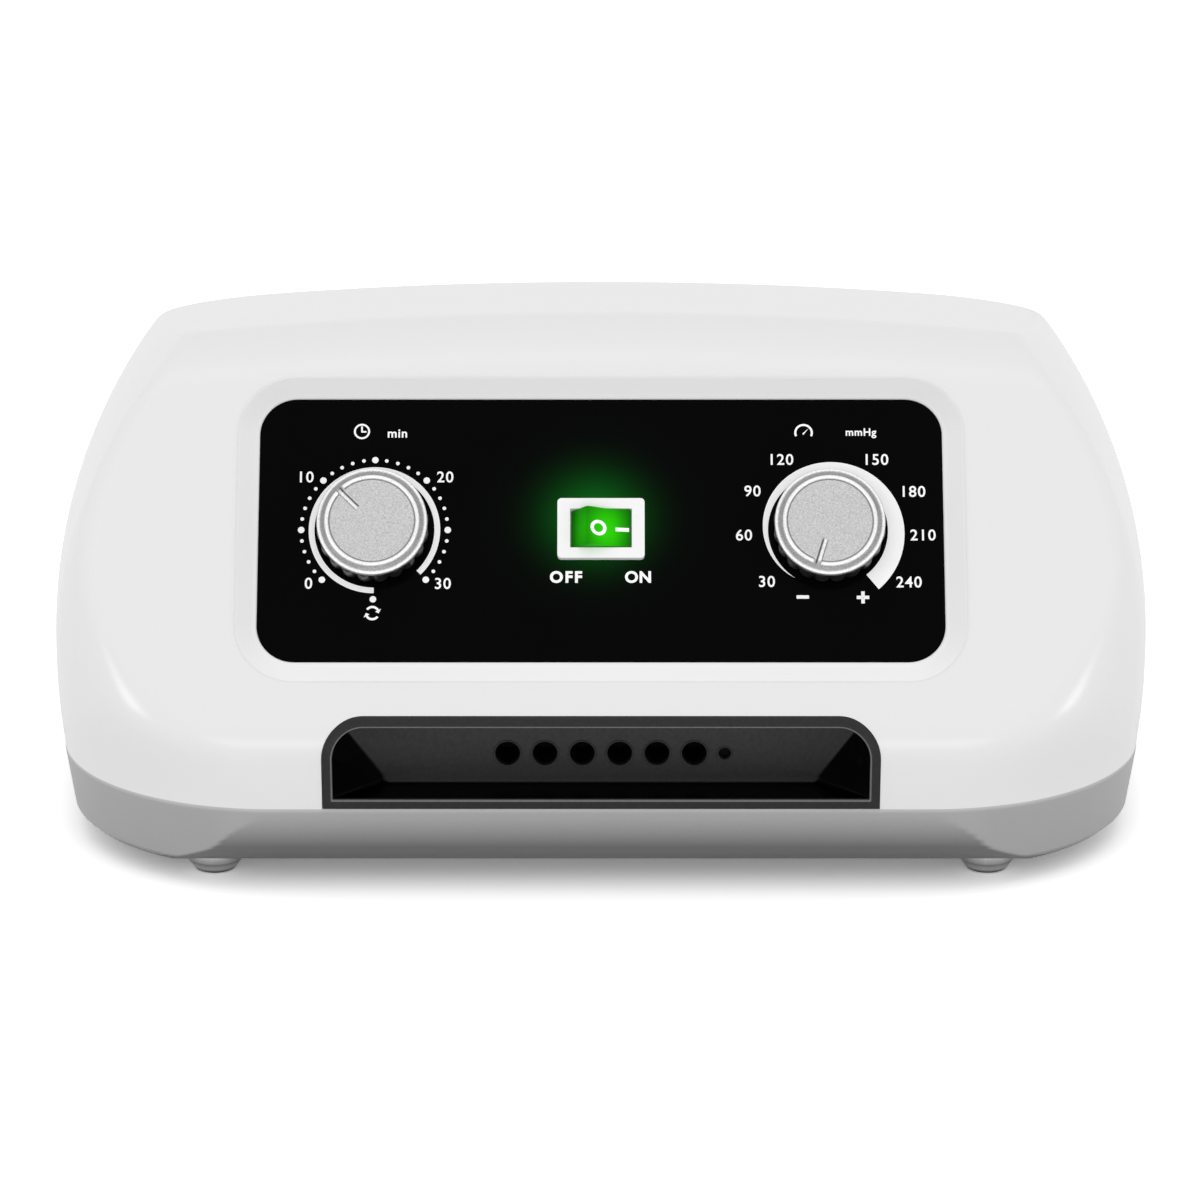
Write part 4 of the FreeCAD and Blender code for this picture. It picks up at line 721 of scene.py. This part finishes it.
def tray_roll(points, sign):
    """Underside that rolls up to the front or the rear on a quarter of a cylinder."""
    y = np.maximum(sign * points[..., 1] - ROLL_AXIS, 0)
    drop = np.maximum(TRAY_TOP - points[..., 2], 0)
    size = np.maximum(np.hypot(y, drop), 1e-6)
    return size - TRAY_ROLL, np.stack([0 * y, sign * y / size, -drop / size], axis=-1)


def tray_form(points):
    """Side, rear, chamfer, rolled ends and floor, their edges rounded: the chamfer's distance is
    the side's plus the floor's, over the length of their summed normals."""
    side = tray_side(points)
    floor = plane(points, np.array([0, 0, TRAY_FLOOR]), (0, 0, -1))
    lean = side[1] + floor[1]
    size = np.linalg.norm(lean, axis=-1)
    rear = plane(points, np.array([0, TRAY_REAR, 0]), (0, 1, 0))
    facet = ((side[0] + floor[0] + TRAY_CHAMFER) / size, lean / size[..., None])
    rolls = blend(tray_roll(points, -1.0), tray_roll(points, 1.0), 1.0)
    walls = blend(blend(side, rear, 6.0), facet, 1.0)
    return blend(blend(walls, rolls, 1.2), floor, 1.0)


def base_tray(material):
    """Grey tray: rings from the middle of its underside out to the rim and down to its inner floor.
    Its tone paints shade on the underside, deepest towards the lower edge of the rolled front."""
    place, _ = rounded_ring((100.0, 50.0), 30.0)
    first = np.column_stack([place, np.full(COLUMNS, TRAY_FLOOR)])
    skin, inner = net(tray_form, TRAY_CENTRE, first, level_ring(tray_form, TRAY_RIM), 90, 20)
    rim = level_ring(tray_form, TRAY_RIM, 0.2)
    rim[:, 2] = SEAM - 0.03
    lip = level_ring(tray_form, TRAY_RIM, WALL)
    lip[:, 2] = SEAM - 0.05
    rings = np.concatenate([skin, rim[None], lip[None], inner[::-1]])
    # Painted shade: faces that turn downwards get darker, the rolled front most of all
    under = np.clip(-tray_form(skin)[1][..., 2] / 0.9, 0, 1)
    rolled = np.maximum(tray_roll(skin, -1.0)[0], tray_roll(skin, 1.0)[0]) - tray_side(skin)[0]
    rolled = np.clip(0.5 + rolled / 0.6, 0, 1)
    tone = np.full(rings.shape[:2], TRAY_TONE)
    tone[:len(skin)] *= 1 - np.minimum(under * (0.15 + rolled * (0.35 + 0.65 * under)), 0.6)
    # Painted highlight: the rim ring at full tone draws a bright line along the seam
    tone[len(skin)] = 1.0
    tray = piece("base_tray_shell", [tube_of_rings(rings)], "chassis", material, tone=tone.ravel())
    cuts = [prism(slot_outline(7.0 * (k - 4), 0, 1.2, 20.0), -2.0, 12.0, "z") for k in range(9)]
    cuts += [prism(circle_outline(x, y, 3.5), -2.0, 12.0, "z") for x, y in POSTS]
    cut_by(tray, cuts, filled(TRAY_TONE))
    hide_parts("base_tray")
    wells = posts(POSTS, POST_RADIUS, 3.5, 5.2, 24.0)
    wells = piece("base_tray_wells", wells, "chassis", material, tone=TRAY_TONE)
    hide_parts("base_tray")


# Hose bay ----

BAY_REAR = -67.5
BAY_BACK = -70.0
# Painted shade on the bay's back: its tone at two levels, darker at the lower
BACK_LEVELS, BACK_SHADE_TONES = (24.7, 38.1), (0.14, 0.31)
PORT_LEVEL = 31.4
PORTS = [(-22.5 + 9.0 * k, 3.0) for k in range(6)] + [(29.8, 1.5)]
# Frame rings, inset and height over the cover, each with its tone: the tone paints a highlight
# # along the lip and shade on the rings that turn into the pocket
BAY_FRAME = [
    (1.0, -4.0, 0.01), (0.0, -3.0, 0.05), (0.0, 0.12, 0.15), (0.08, 0.3, 0.18), (0.3, 0.4, 0.16),
    (1.9, 0.4, 0.16), (2.1, 0.34, 1.0), (2.3, 0.12, 1.0), (2.4, -0.25, 0.2), (2.45, -1.0, 0.0)]
# Rings of the flat back: half widths low and high, levels, depth, corner and tone: the tone paints
# # shade on the pocket's walls
BAY_POCKET = [
    (52.9, 61.2, 23.9, 38.9, -70.6, 2.0, 0.0), (52.6, 60.9, 24.2, 38.6, -70.15, 1.8, 0.08),
    (52.1, 60.4, 24.7, 38.1, BAY_BACK, 1.5, 0.24)]


def painted_back_shade(level, spots):
    """Painted shade on the bay's flat back: its tone darker towards its floor."""
    on_back = np.abs(spots[:, 1] - BAY_BACK) < 0.02
    return np.where(on_back, np.interp(spots[:, 2], BACK_LEVELS, BACK_SHADE_TONES), level)


def hose_bay(material):
    """Black pocket in the front: its frame lies on the cover, a rounded lip turns in, and the walls
    taper to a flat back with six ports and a key hole.  Its tones paint a highlight along the lip
    and shade on the walls and the back."""
    def front(inset, level):
        outline = arched_outline(BAY_HALF - inset, BAY_HALF - inset, SEAM + BAY_GAP + inset,
                                 BAY_TOP - inset, 0.3, BAY_CORNER - 0.95 * inset)
        return leave(body_form, upright(outline, -60.0), FORWARD, 60.0, level)

    def back(half_low, half_high, low, high, y, corner):
        return upright(arched_outline(half_low, half_high, low, high, corner, corner), y)

    rings = np.stack([back(54.6, 62.6, 22.3, 40.2, BAY_REAR, 3.0)]
                     + [front(inset, level) for inset, level, _ in BAY_FRAME]
                     + [back(*row[:-1]) for row in BAY_POCKET])
    # These tones paint a highlight on the lip and shade inside the pocket
    tones = [0.01] + [row[-1] for row in BAY_FRAME + BAY_POCKET]
    bay = piece("hose_port_bay_moulding", [tube_of_rings(rings)], "chassis", material,
                tone=np.repeat(tones, rings.shape[1]))
    cut_by(bay, [prism(circle_outline(x, PORT_LEVEL, r), -76.0, -60.0, "y") for x, r in PORTS],
           painted_back_shade)
    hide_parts("hose_port_bay")
    collars = []
    for x, r in PORTS:
        profile = [(r, -69.9), (r, -70.12), (r + 0.12, -70.2), (r + 0.35, -70.2), (r + 0.5, -69.98),
                   (r + 0.5, -69.9)]
        rings = turned(profile, 48)[..., [0, 2, 1]]
        collars.append(loop_of_rings(rings + np.array([x, 0.0, PORT_LEVEL])))
    piece("hose_port_collars", collars, "chassis", material, tone=0.2)


# Knobs ----

KNOB_COLUMNS = 480
DISC_ROWS = 30
# Radius, height and tone of the cap's rings, from its rim to the edge of its disc; the tone
# # paints highlights on the rim and the ring and shade on the cone
CAP_RINGS = [
    (13.0, 6.0, 0.14), (13.2, 6.05, 0.5), (13.3, 6.35, 0.65), (13.3, 7.0, 0.65), (13.2, 7.3, 0.9),
    (13.0, 7.45, 1.0), (12.75, 7.52, 1.0), (12.5, 7.5, 0.6), (12.3, 7.55, 0.33), (11.8, 7.75, 0.31),
    (11.5, 7.88, 0.33), (11.38, 8.0, 0.6), (11.2, 8.28, 1.0), (10.95, 8.38, 1.0), (10.7, 8.34, 1.0),
    (10.5, 8.15, 0.9), (10.35, 7.93, 0.28), (10.15, 7.93, 0.28), (10.02, 8.0, 0.63)]
GRIP_PROFILE = [(12.6, 0.6), (13.1, 0.65), (13.35, 0.95), (13.45, 2.0), (13.45, 4.6), (13.4, 5.2),
                (13.35, 5.6), (13.2, 5.9), (12.9, 6.0)]


def knob_cap(side, x, pointer, material):
    """Spun aluminium cap: a rim, a cone, a ring and a grained disc, whose tones paint highlights on
    the rim and the ring and shade on the cone.  The pointer is a groove across the disc and the
    ring, with a painted highlight on its far wall and painted shade in its bed."""
    angle = math.radians(pointer)
    disc = [(radius, 8.0, 0.61) for radius in np.linspace(9.85, 0.4, DISC_ROWS)]
    profile = np.array(CAP_RINGS + disc)
    rings = turned(profile[:, :2], KNOB_COLUMNS)
    along = rings[..., 0] * math.cos(angle) + rings[..., 1] * math.sin(angle)
    aside = -rings[..., 0] * math.sin(angle) + rings[..., 1] * math.cos(angle)
    groove = np.clip((1.0 - np.abs(aside)) / 0.12, 0, 1) * np.clip((along - 4.6) / 0.25, 0, 1)
    groove *= np.clip((11.5 - along) / 0.2, 0, 1)
    # Painted light in the pointer groove: bed is painted shade along its bottom, bright a painted
    # highlight on its far wall
    bed = np.exp(-((aside + 0.25) / 0.2) ** 2) + 0.8 * np.exp(-((aside - 0.9) / 0.1) ** 2)
    bright = np.exp(-((aside - 0.38) / 0.38) ** 2) + 0.55 * np.exp(-((aside + 0.7) / 0.16) ** 2)
    bright *= np.clip((10.9 - along) / 0.5, 0, 1)
    rings[..., 2] -= groove * (0.05 + 0.22 * bed)
    dip = np.clip(0.42 + 0.6 * bright - 0.38 * bed, 0.05, 1)
    tone = profile[:, 2:] * (1 - groove) + groove * dip
    rings = np.concatenate([turned([(12.9, 6.0)], KNOB_COLUMNS), rings])
    tone = np.concatenate([np.full((1, KNOB_COLUMNS), 0.1), tone])
    cap = piece(side + "_cap", [laid(tube_of_rings(rings), x)], side + "_knob", material, 40.0,
                tone.ravel())
    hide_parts(side + "_knob_cap")


def knob_grip(side, x, material):
    """Scalloped grip: twenty lobes whose flutes fade out under a plain rim."""
    def wave(angle, height):
        lobe = np.abs(np.sin(10 * angle)) ** 0.7
        return -0.95 * (1 - lobe) * np.clip((5.9 - height) / 0.8, 0, 1)
    bore = turned([(4.0, 6.0), (4.0, 0.6)], KNOB_COLUMNS)
    rings = np.concatenate([turned(GRIP_PROFILE, KNOB_COLUMNS, wave), bore])
    grip = piece(side + "_grip", [laid(loop_of_rings(rings), x)], side + "_knob", material, 50.0)
    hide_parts(side + "_knob_body")


# Rocker ----

# Top of the rocker along x, from its raised end to its sunk one, and how brightly it glows there
ROCKER_TOP = np.array([
    (-7.2, -0.15), (-6.9, 0.28), (-6.2, 1.28), (-5.0, 2.98), (-3.9, 4.5), (-3.5, 4.76),
    (-3.2, 4.85), (-2.9, 4.8), (-2.2, 4.45), (-1.0, 3.85), (0, 3.4), (1.0, 2.98), (2, 2.6),
    (3.0, 2.3), (4, 2.05), (5.0, 1.88), (6, 1.75), (6.8, 1.62), (7.15, 1.5), (7.25, 0.9)])
ROCKER_GLOW = np.array([
    (-7.2, 0.25), (-6.2, 0.45), (-5.0, 0.75), (-4.0, 0.8), (-3.4, 0.55), (-2.9, 0.6), (-2.0, 0.75),
    (-0.5, 0.95), (1.0, 1.05), (3.5, 1.0), (5.0, 0.7), (6.5, 0.45), (7.2, 0.1)])
# Place across the rocker, and how far its edges are eased there
ROCKER_ROWS = [(-4.65, 0.18), (-4.6, 0.07), (-4.45, 0.0), (-2.0, 0.0), (0.0, 0.0), (2.0, 0.0),
               (4.45, 0.0), (4.6, 0.07), (4.65, 0.18)]


def rocker_height(x):
    """Height of the rocker's top, read off its profile."""
    return np.interp(x, ROCKER_TOP[:, 0], ROCKER_TOP[:, 1])


def power_rocker(material, print_white):
    """Lit rocker: one profile carried across its width, its edges eased, with a ring and a bar."""
    outline = np.vstack([ROCKER_TOP, [(7.0, -2.0), (-7.0, -2.0)]])
    away = outline - outline.mean(axis=0)
    outwards = away / np.linalg.norm(away, axis=1, keepdims=True)
    rings = np.stack([upright(outline - outwards * easing, up) for up, easing in ROCKER_ROWS])
    points, faces = tube_of_rings(rings)
    glow = np.interp(points[:, 0], ROCKER_GLOW[:, 0], ROCKER_GLOW[:, 1])
    glow *= 1.1 * np.exp(-((points[:, 0] - 0.8) / 8.0) ** 2 - ((points[:, 1] + 0.8) / 6.5) ** 2)
    glow *= np.where(points[:, 2] < -0.4, 0.3, 1.0)
    rocker = piece("rocker_lens", [(on_panel(points), faces)], "power_rocker", material, 30.0, glow)
    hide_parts("power_switch_rocker")
    ring = band((-0.6, -0.5), 1.1, 1.93, 0, 360, 48, rocker_height)
    bar = bar_mark(3.5, 6.75, -0.5, 0.48, rocker_height)
    piece("rocker_marks", [ring, bar], "power_rocker", print_white)


# Print ----

INK = (-0.02, 0.03)  # bottom and top of the ink over the panel
TIME_X = -54.6
TIME_DOTS = 17.66
ARC_INNER = 14.45
LOOP = (-54.86, -20.82)
PLUS = (62.9, -16.9)
CLOCK = (-57.93, 24.94)
NUMBERS = [
    ("0", -70.28, -13.37), ("10", -71.12, 13.39), ("20", -37.66, 13.39), ("30", -37.99, -13.42),
    ("30", 39.89, -12.92), ("60", 34.46, -1.26), ("90", 36.6, 9.84), ("120", 43.8, 17.82),
    ("150", 66.79, 17.82), ("180", 75.61, 9.72), ("210", 77.58, -1.26), ("240", 74.01, -13.05)]
# Text, place, height, weight and spacing
WORDS = [("min", -49.32, 24.43, 2.1, 0.02, 1.1), ("mmHg", 63.02, 24.49, 2.5, 0.02, 1.1),
         ("OFF", -8.41, -11.8, 3.0, 0.04, 1.25), ("ON", 8.89, -11.8, 3.0, 0.035, 1.1)]


def inked(corners, height_of=None):
    """The four corners of an ink section, (x, y, bottom or top), as rings along a mark."""
    lines = [np.broadcast_arrays(x, y, INK[top]) for x, y, top in corners]
    rings = np.stack([np.stack(line, axis=-1) for line in lines], axis=1)
    if height_of is not None:
        rings[..., 2] += height_of(rings[..., 0])
    return rings


def band(centre, inner, outer, start, end, steps, height_of=None):
    """Ring or arc of ink: a thin section carried round a centre; its outer radius may vary."""
    whole = abs(end - start) >= 360
    share = np.linspace(0, 1, steps, endpoint=not whole)
    angle = np.radians(start + share * (end - start))
    if callable(outer):
        outer = outer(share)
    rings = inked([(centre[0] + radius * np.cos(angle), centre[1] + radius * np.sin(angle), top)
                   for radius, top in ((inner, 0), (outer, 0), (outer, 1), (inner, 1))], height_of)
    return laid(loop_of_rings(rings) if whole else tube_of_rings(rings))


def bar_mark(left, right, level, half, height_of=None):
    """Straight bar of ink along x."""
    x = np.linspace(left, right, 9)
    section = ((-half, 0), (half, 0), (half, 1), (-half, 1))
    return laid(tube_of_rings(inked([(x, level + up, top) for up, top in section], height_of)))


def patch(outline):
    """Flat shape of ink."""
    return prism(np.asarray(outline, float), *INK)


def dot_mark(x, y, radius):
    return patch(circle_outline(x, y, radius, 20))


def letters(text, x, y, height, weight, spacing):
    """Plain sans-serif characters as thin solids, scaled to a height and centred on a point."""
    curve = bpy.data.curves.new("letters", "FONT")
    curve.body = text
    curve.offset = weight
    curve.space_character = spacing
    curve.extrude = 0.5
    curve.resolution_u = 6
    holder = placed("letters", curve)
    graph = bpy.context.evaluated_depsgraph_get()
    mesh = bpy.data.meshes.new_from_object(holder.evaluated_get(graph))
    points = np.zeros(len(mesh.vertices) * 3)
    mesh.vertices.foreach_get("co", points)
    points = points.reshape(-1, 3)
    low, high = points.min(axis=0), points.max(axis=0)
    flat = (points - (low + high) / 2) * (height / (high - low)[1]) + (x, y, 0)
    flat[:, 2] = np.where(points[:, 2] > 0, INK[1], INK[0])
    faces = [np.array([tuple(face.vertices)]) for face in mesh.polygons]
    bpy.data.objects.remove(holder)
    bpy.data.curves.remove(curve)
    bpy.data.meshes.remove(mesh)
    return on_panel(flat), faces


def panel_print(material):
    """White scales, numbers and symbols on the fascia."""
    marks = []
    for k in range(31):
        angle = math.radians(225 - 9 * k)
        x, y = TIME_X + TIME_DOTS * math.cos(angle), TIME_DOTS * math.sin(angle)
        marks.append(dot_mark(x, y, 0.8 if k % 5 == 0 else 0.45))
    marks += [band((TIME_X, 0), ARC_INNER, 15.85, 270, -45, 160), dot_mark(-54.76, -17.37, 0.8)]
    for start in (20, 200):
        marks.append(band(LOOP, 1.25, 1.8, start, start + 125, 20))
        tip, root = math.radians(start - 22), math.radians(start + 8)
        marks.append(patch([(LOOP[0] + r * math.cos(a), LOOP[1] + r * math.sin(a))
                            for r, a in ((0.75, root), (1.525, tip), (2.35, root))]))
    marks += [letters(*row, 2.8, 0.012, 1.12) for row in NUMBERS]
    marks += [band((54.7, 0), ARC_INNER, lambda s: 14.47 + 4.65 * s ** 0.83, 236, -51, 200),
              bar_mark(46.95, 49.95, -16.8, 0.42),
              bar_mark(PLUS[0] - 1.5, PLUS[0] + 1.5, PLUS[1], 0.42),
              patch(rectangle_outline(*PLUS, 0.42, 1.5, 0.02))]
    marks += [letters(*row) for row in WORDS]
    marks += [band(CLOCK, 1.5, 1.95, 0, 360, 40),
              patch(rectangle_outline(CLOCK[0], 25.5, 0.2, 0.75, 0.02)),
              patch(rectangle_outline(-57.45, 24.85, 0.6, 0.2, 0.02)),
              band((49.09, 24.6), 1.75, 2.25, 205, -25, 36),
              patch([(48.75, 24.35), (49.05, 24.1), (50.35, 25.75)])]
    piece("panel_print", marks, "chassis", material)


# Feet ----

FOOT_COLUMNS = 64
# Radius, height and tone: the tone paints a highlight on the rim band and shade below it and
# towards the tread
FOOT_RINGS = np.array([
    (2.4, 7.5, 0.3), (2.5, 5.0, 0.3), (6.3, 5.0, 0.3), (6.65, 4.85, 0.75), (6.75, 4.5, 0.8),
    (6.75, 3.05, 0.6), (6.62, 2.75, 0.35), (6.2, 2.0, 0.6), (5.65, 1.2, 0.7), (5.2, 0.6, 0.25),
    (4.85, 0.18, 0.02), (4.5, 0.0, 0.02), (0.4, 0.0, 0.02)])


def foot(place, x, y, material):
    """Turned foot: a rim band and a bowl, with a painted highlight on the rim band and painted
    shade darkening towards its tread.
    """
    skin = tube_of_rings(turned(FOOT_RINGS[:, :2], FOOT_COLUMNS) + np.array([x, y, 0.0]))
    tone = np.repeat(FOOT_RINGS[:, 2], FOOT_COLUMNS)
    tread = piece(place + "_tread", [skin], "chassis", material, tone=tone)
    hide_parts(place + "_foot")


# Finishes ----

def own_place(tree):
    """The piece's own coordinates, which are metres."""
    return node(tree, "TexCoord").outputs["Object"]


def noise(tree, size, detail, stretch=None):
    """Noise with spots of a size in millimetres; stretch draws it out along an axis."""
    place = own_place(tree)
    if stretch is not None:
        place = node(tree, "Mapping", {"Scale": stretch, "Vector": place}).outputs[0]
    inputs = {"Scale": 1000.0 / size, "Detail": detail, "Vector": place}
    return node(tree, "TexNoise", inputs).outputs["Fac"]


def spread(tree, source, low, high):
    """Maps the middle of a noise to a range."""
    inputs = {"From Min": 0.3, "From Max": 0.7, "To Min": low, "To Max": high, "Value": source}
    return node(tree, "MapRange", inputs).outputs[0]


def two_tone(tree, source, dark, light):
    inputs = {"A": (*dark, 1.0), "B": (*light, 1.0), "Factor": source}
    return node(tree, "Mix", inputs, data_type="RGBA").outputs["Result"]


# The piece's tone attribute; on the cover, tray, bay, caps and feet it also carries painted
# highlights and painted shade
def own_tone(tree):
    return node(tree, "Attribute", attribute_name="tone").outputs["Fac"]


def finish(name, colour, roughness, mottle, grain, grain_size, fleck=None, metallic=0.0,
           specular=0.5, patch_size=30.0, stretch=None, alpha=1.0, wander=0.03):
    """A finish with the marks of its making: colour that wanders by the mottle over patches, gloss
    that wanders with it, and a fine relief whose grain is given in millimetres.  With a fleck size
    the piece's own tone sets the colour, up from black, and the mottle is that of fine flecks."""
    material = bpy.data.materials.new(name)
    tree = node_tree(material)
    wide = noise(tree, patch_size, 4.0)
    if fleck:
        flecks = spread(tree, noise(tree, fleck, 1.0), 1 - mottle, 1 + mottle)
        level = maths(tree, "MULTIPLY", own_tone(tree), flecks)
        dark, light = (0.0, 0.0, 0.0), colour
    else:
        level = spread(tree, wide, 0.0, 1.0)
        dark = tuple(c * (1 - mottle) for c in colour)
        light = tuple(min(c * (1 + mottle), 1.0) for c in colour)
    bump = node(tree, "Bump", {"Strength": grain, "Distance": grain_size * 0.0005,
                               "Height": noise(tree, grain_size, 2.0, stretch)})
    shader = node(tree, "BsdfPrincipled", {
        "Base Color": two_tone(tree, level, dark, light),
        "Roughness": spread(tree, wide, roughness - wander, roughness + wander),
        "Normal": bump.outputs[0], "Metallic": metallic, "Specular IOR Level": specular,
        "Alpha": alpha}, name="finish")
    node(tree, "OutputMaterial", {"Surface": shader.outputs[0]})
    return material


def refeed(material, inputs):
    """Changes inputs of a finish."""
    tree = material.node_tree
    for name, value in inputs.items():
        feed(tree, tree.nodes["finish"].inputs[name], value)


def light_round_switch(material):
    """Painted light: the switch's green glow falling on the fascia, as emission in a bell curve in
    the panel's own x and up.
    """
    tree = material.node_tree
    middle = (PANEL_ORIGIN - 1.5 * RIGHT + 3.0 * PANEL_UP) * MM
    inputs = {0: own_place(tree), 1: middle}
    away = node(tree, "VectorMath", inputs, operation="SUBTRACT").outputs[0]
    squares = []
    for axis, reach in ((RIGHT, 14.0), (PANEL_UP, 13.0)):
        inputs = {0: away, 1: axis / (reach * MM)}
        along = node(tree, "VectorMath", inputs, operation="DOT_PRODUCT").outputs["Value"]
        squares.append(maths(tree, "MULTIPLY", along, along))
    bell = maths(tree, "EXPONENT", maths(tree, "MULTIPLY", maths(tree, "ADD", *squares), -1.9))
    refeed(material, {"Emission Color": (0.015, 1.0, 0.07, 1.0),
                      "Emission Strength": maths(tree, "MULTIPLY", bell, 0.12)})


def light_within(material):
    """The rocker's own light: the piece's tone sets how bright it glows."""
    tree = material.node_tree
    refeed(material, {"Emission Color": (0.045, 1.0, 0.0, 1.0),
                      "Emission Strength": maths(tree, "MULTIPLY", own_tone(tree), 0.5)})


def wire_turns(material):
    """Copper wire in even turns: fine bands along the coil, each a rounded ridge."""
    tree = material.node_tree
    wave = node(tree, "TexWave", {"Scale": 500.0, "Vector": own_place(tree)}, bands_direction="Z")
    bump = node(tree, "Bump", {"Strength": 0.8, "Distance": 0.0002, "Height": wave.outputs["Fac"]})
    refeed(material, {"Normal": bump.outputs[0]})


DRAWN = (1.0, 6.0, 1.0)  # how turned metal stretches its grain
# Colour, roughness, mottle, grain and its size in millimetres, and what differs from plain plastic
FINISHES = {name: finish(name, *values, **extra) for name, (*values, extra) in {
    "cover_white": ((0.962, 0.962, 0.962), 0.22, 0.001, 0.02, 0.5, {"fleck": 0.5, "wander": 0.004}),
    "tray_grey": ((0.61, 0.61, 0.615), 0.38, 0.015, 0.06, 0.4, {"fleck": 0.5}),
    "fascia_black": ((0.0012, 0.0012, 0.0014), 0.12, 0.1, 0.02, 2.0, {"specular": 0.025}),
    "bay_black": ((0.2, 0.2, 0.203), 0.35, 0.08, 0.06, 0.4, {"fleck": 0.8, "specular": 0.1}),
    "switch_white": ((0.95, 0.95, 0.95), 0.3, 0.01, 0.03, 0.4, {}),
    "rocker_green": ((0.001, 0.12, 0.0005), 0.5, 0.08, 0.05, 0.5, {"specular": 0.05}),
    "knob_black": ((0.018, 0.018, 0.0185), 0.3, 0.15, 0.08, 0.3, {}),
    "knob_aluminium": ((1.0, 1.0, 1.0), 0.38, 0.18, 0.3, 0.25, {"fleck": 0.35, "metallic": 0.75}),
    "foot_grey": ((0.7, 0.7, 0.71), 0.3, 0.05, 0.1, 0.5, {"fleck": 0.5, "metallic": 0.4}),
    "inlet_black": ((0.02, 0.02, 0.021), 0.4, 0.1, 0.1, 0.4, {}),
    "nylon_natural": ((0.62, 0.6, 0.54), 0.42, 0.04, 0.1, 0.6, {}),
    "rubber_black": ((0.025, 0.025, 0.025), 0.7, 0.2, 0.2, 0.5, {"specular": 0.3}),
    "silicone": ((0.7, 0.71, 0.7), 0.35, 0.04, 0.05, 1.5, {"specular": 0.4}),
    "steel": ((0.5, 0.51, 0.52), 0.32, 0.06, 0.15, 0.3, {"metallic": 1.0, "stretch": DRAWN}),
    "brass": ((0.65, 0.48, 0.2), 0.28, 0.06, 0.1, 0.3, {"metallic": 1.0, "stretch": DRAWN}),
    "copper_winding": ((0.55, 0.2, 0.07), 0.35, 0.15, 0.1, 0.3, {"metallic": 0.9}),
    "magnet": ((0.3, 0.3, 0.31), 0.3, 0.08, 0.1, 0.4, {"metallic": 1.0}),
    "pump_alloy": ((0.45, 0.45, 0.46), 0.5, 0.08, 0.35, 0.5, {"metallic": 0.9}),
    "board_green": ((0.01, 0.13, 0.045), 0.32, 0.25, 0.12, 0.8, {"patch_size": 4.0}),
    "fuse_glass": ((0.75, 0.78, 0.78), 0.1, 0.03, 0.03, 1.0, {"alpha": 0.55}),
}.items()}
# Painted shade: the air manifold, natural nylon by its slot, is made black so that it reads dark
# through the ports
MANIFOLD_SHADE_BLACK = finish("manifold_shade_black", (0.004, 0.004, 0.004), 0.6, 0.1, 0.1, 0.6, specular=0.1)
PRINT_WHITE = finish("print_white", (0.97, 0.97, 0.97), 0.4, 0.02, 0.05, 0.2)
light_round_switch(FINISHES["fascia_black"])
light_within(FINISHES["rocker_green"])
wire_turns(FINISHES["copper_winding"])
# Painted light: the print and the switch's white bezel glow a little, though neither is lit from
# within
for material, strength in ((PRINT_WHITE, 0.14), (FINISHES["switch_white"], 0.06)):
    refeed(material, {"Emission Color": WHITE, "Emission Strength": strength})

slots = {row["node"]: row["material_slot"] for row in frame["record"]["subparts"]}
for name, solid in frame["nodes"].items():
    solid.data.materials.clear()
    solid.data.materials.append(MANIFOLD_SHADE_BLACK if name == "air_manifold" else FINISHES[slots[name]])

top_cover(FINISHES["cover_white"])
base_tray(FINISHES["tray_grey"])
hose_bay(FINISHES["bay_black"])
for side, x, pointer in (("time", -DIAL_X, 135.0), ("pressure", DIAL_X, 253.0)):
    knob_cap(side, x, pointer, FINISHES["knob_aluminium"])
    knob_grip(side, x, FINISHES["knob_black"])
power_rocker(FINISHES["rocker_green"], PRINT_WHITE)
panel_print(PRINT_WHITE)
for end, y in (("front", -64.0), ("rear", 64.0)):
    for hand, x in (("left", -94.0), ("right", 94.0)):
        foot(f"{end}_{hand}", x, y, FINISHES["foot_grey"])
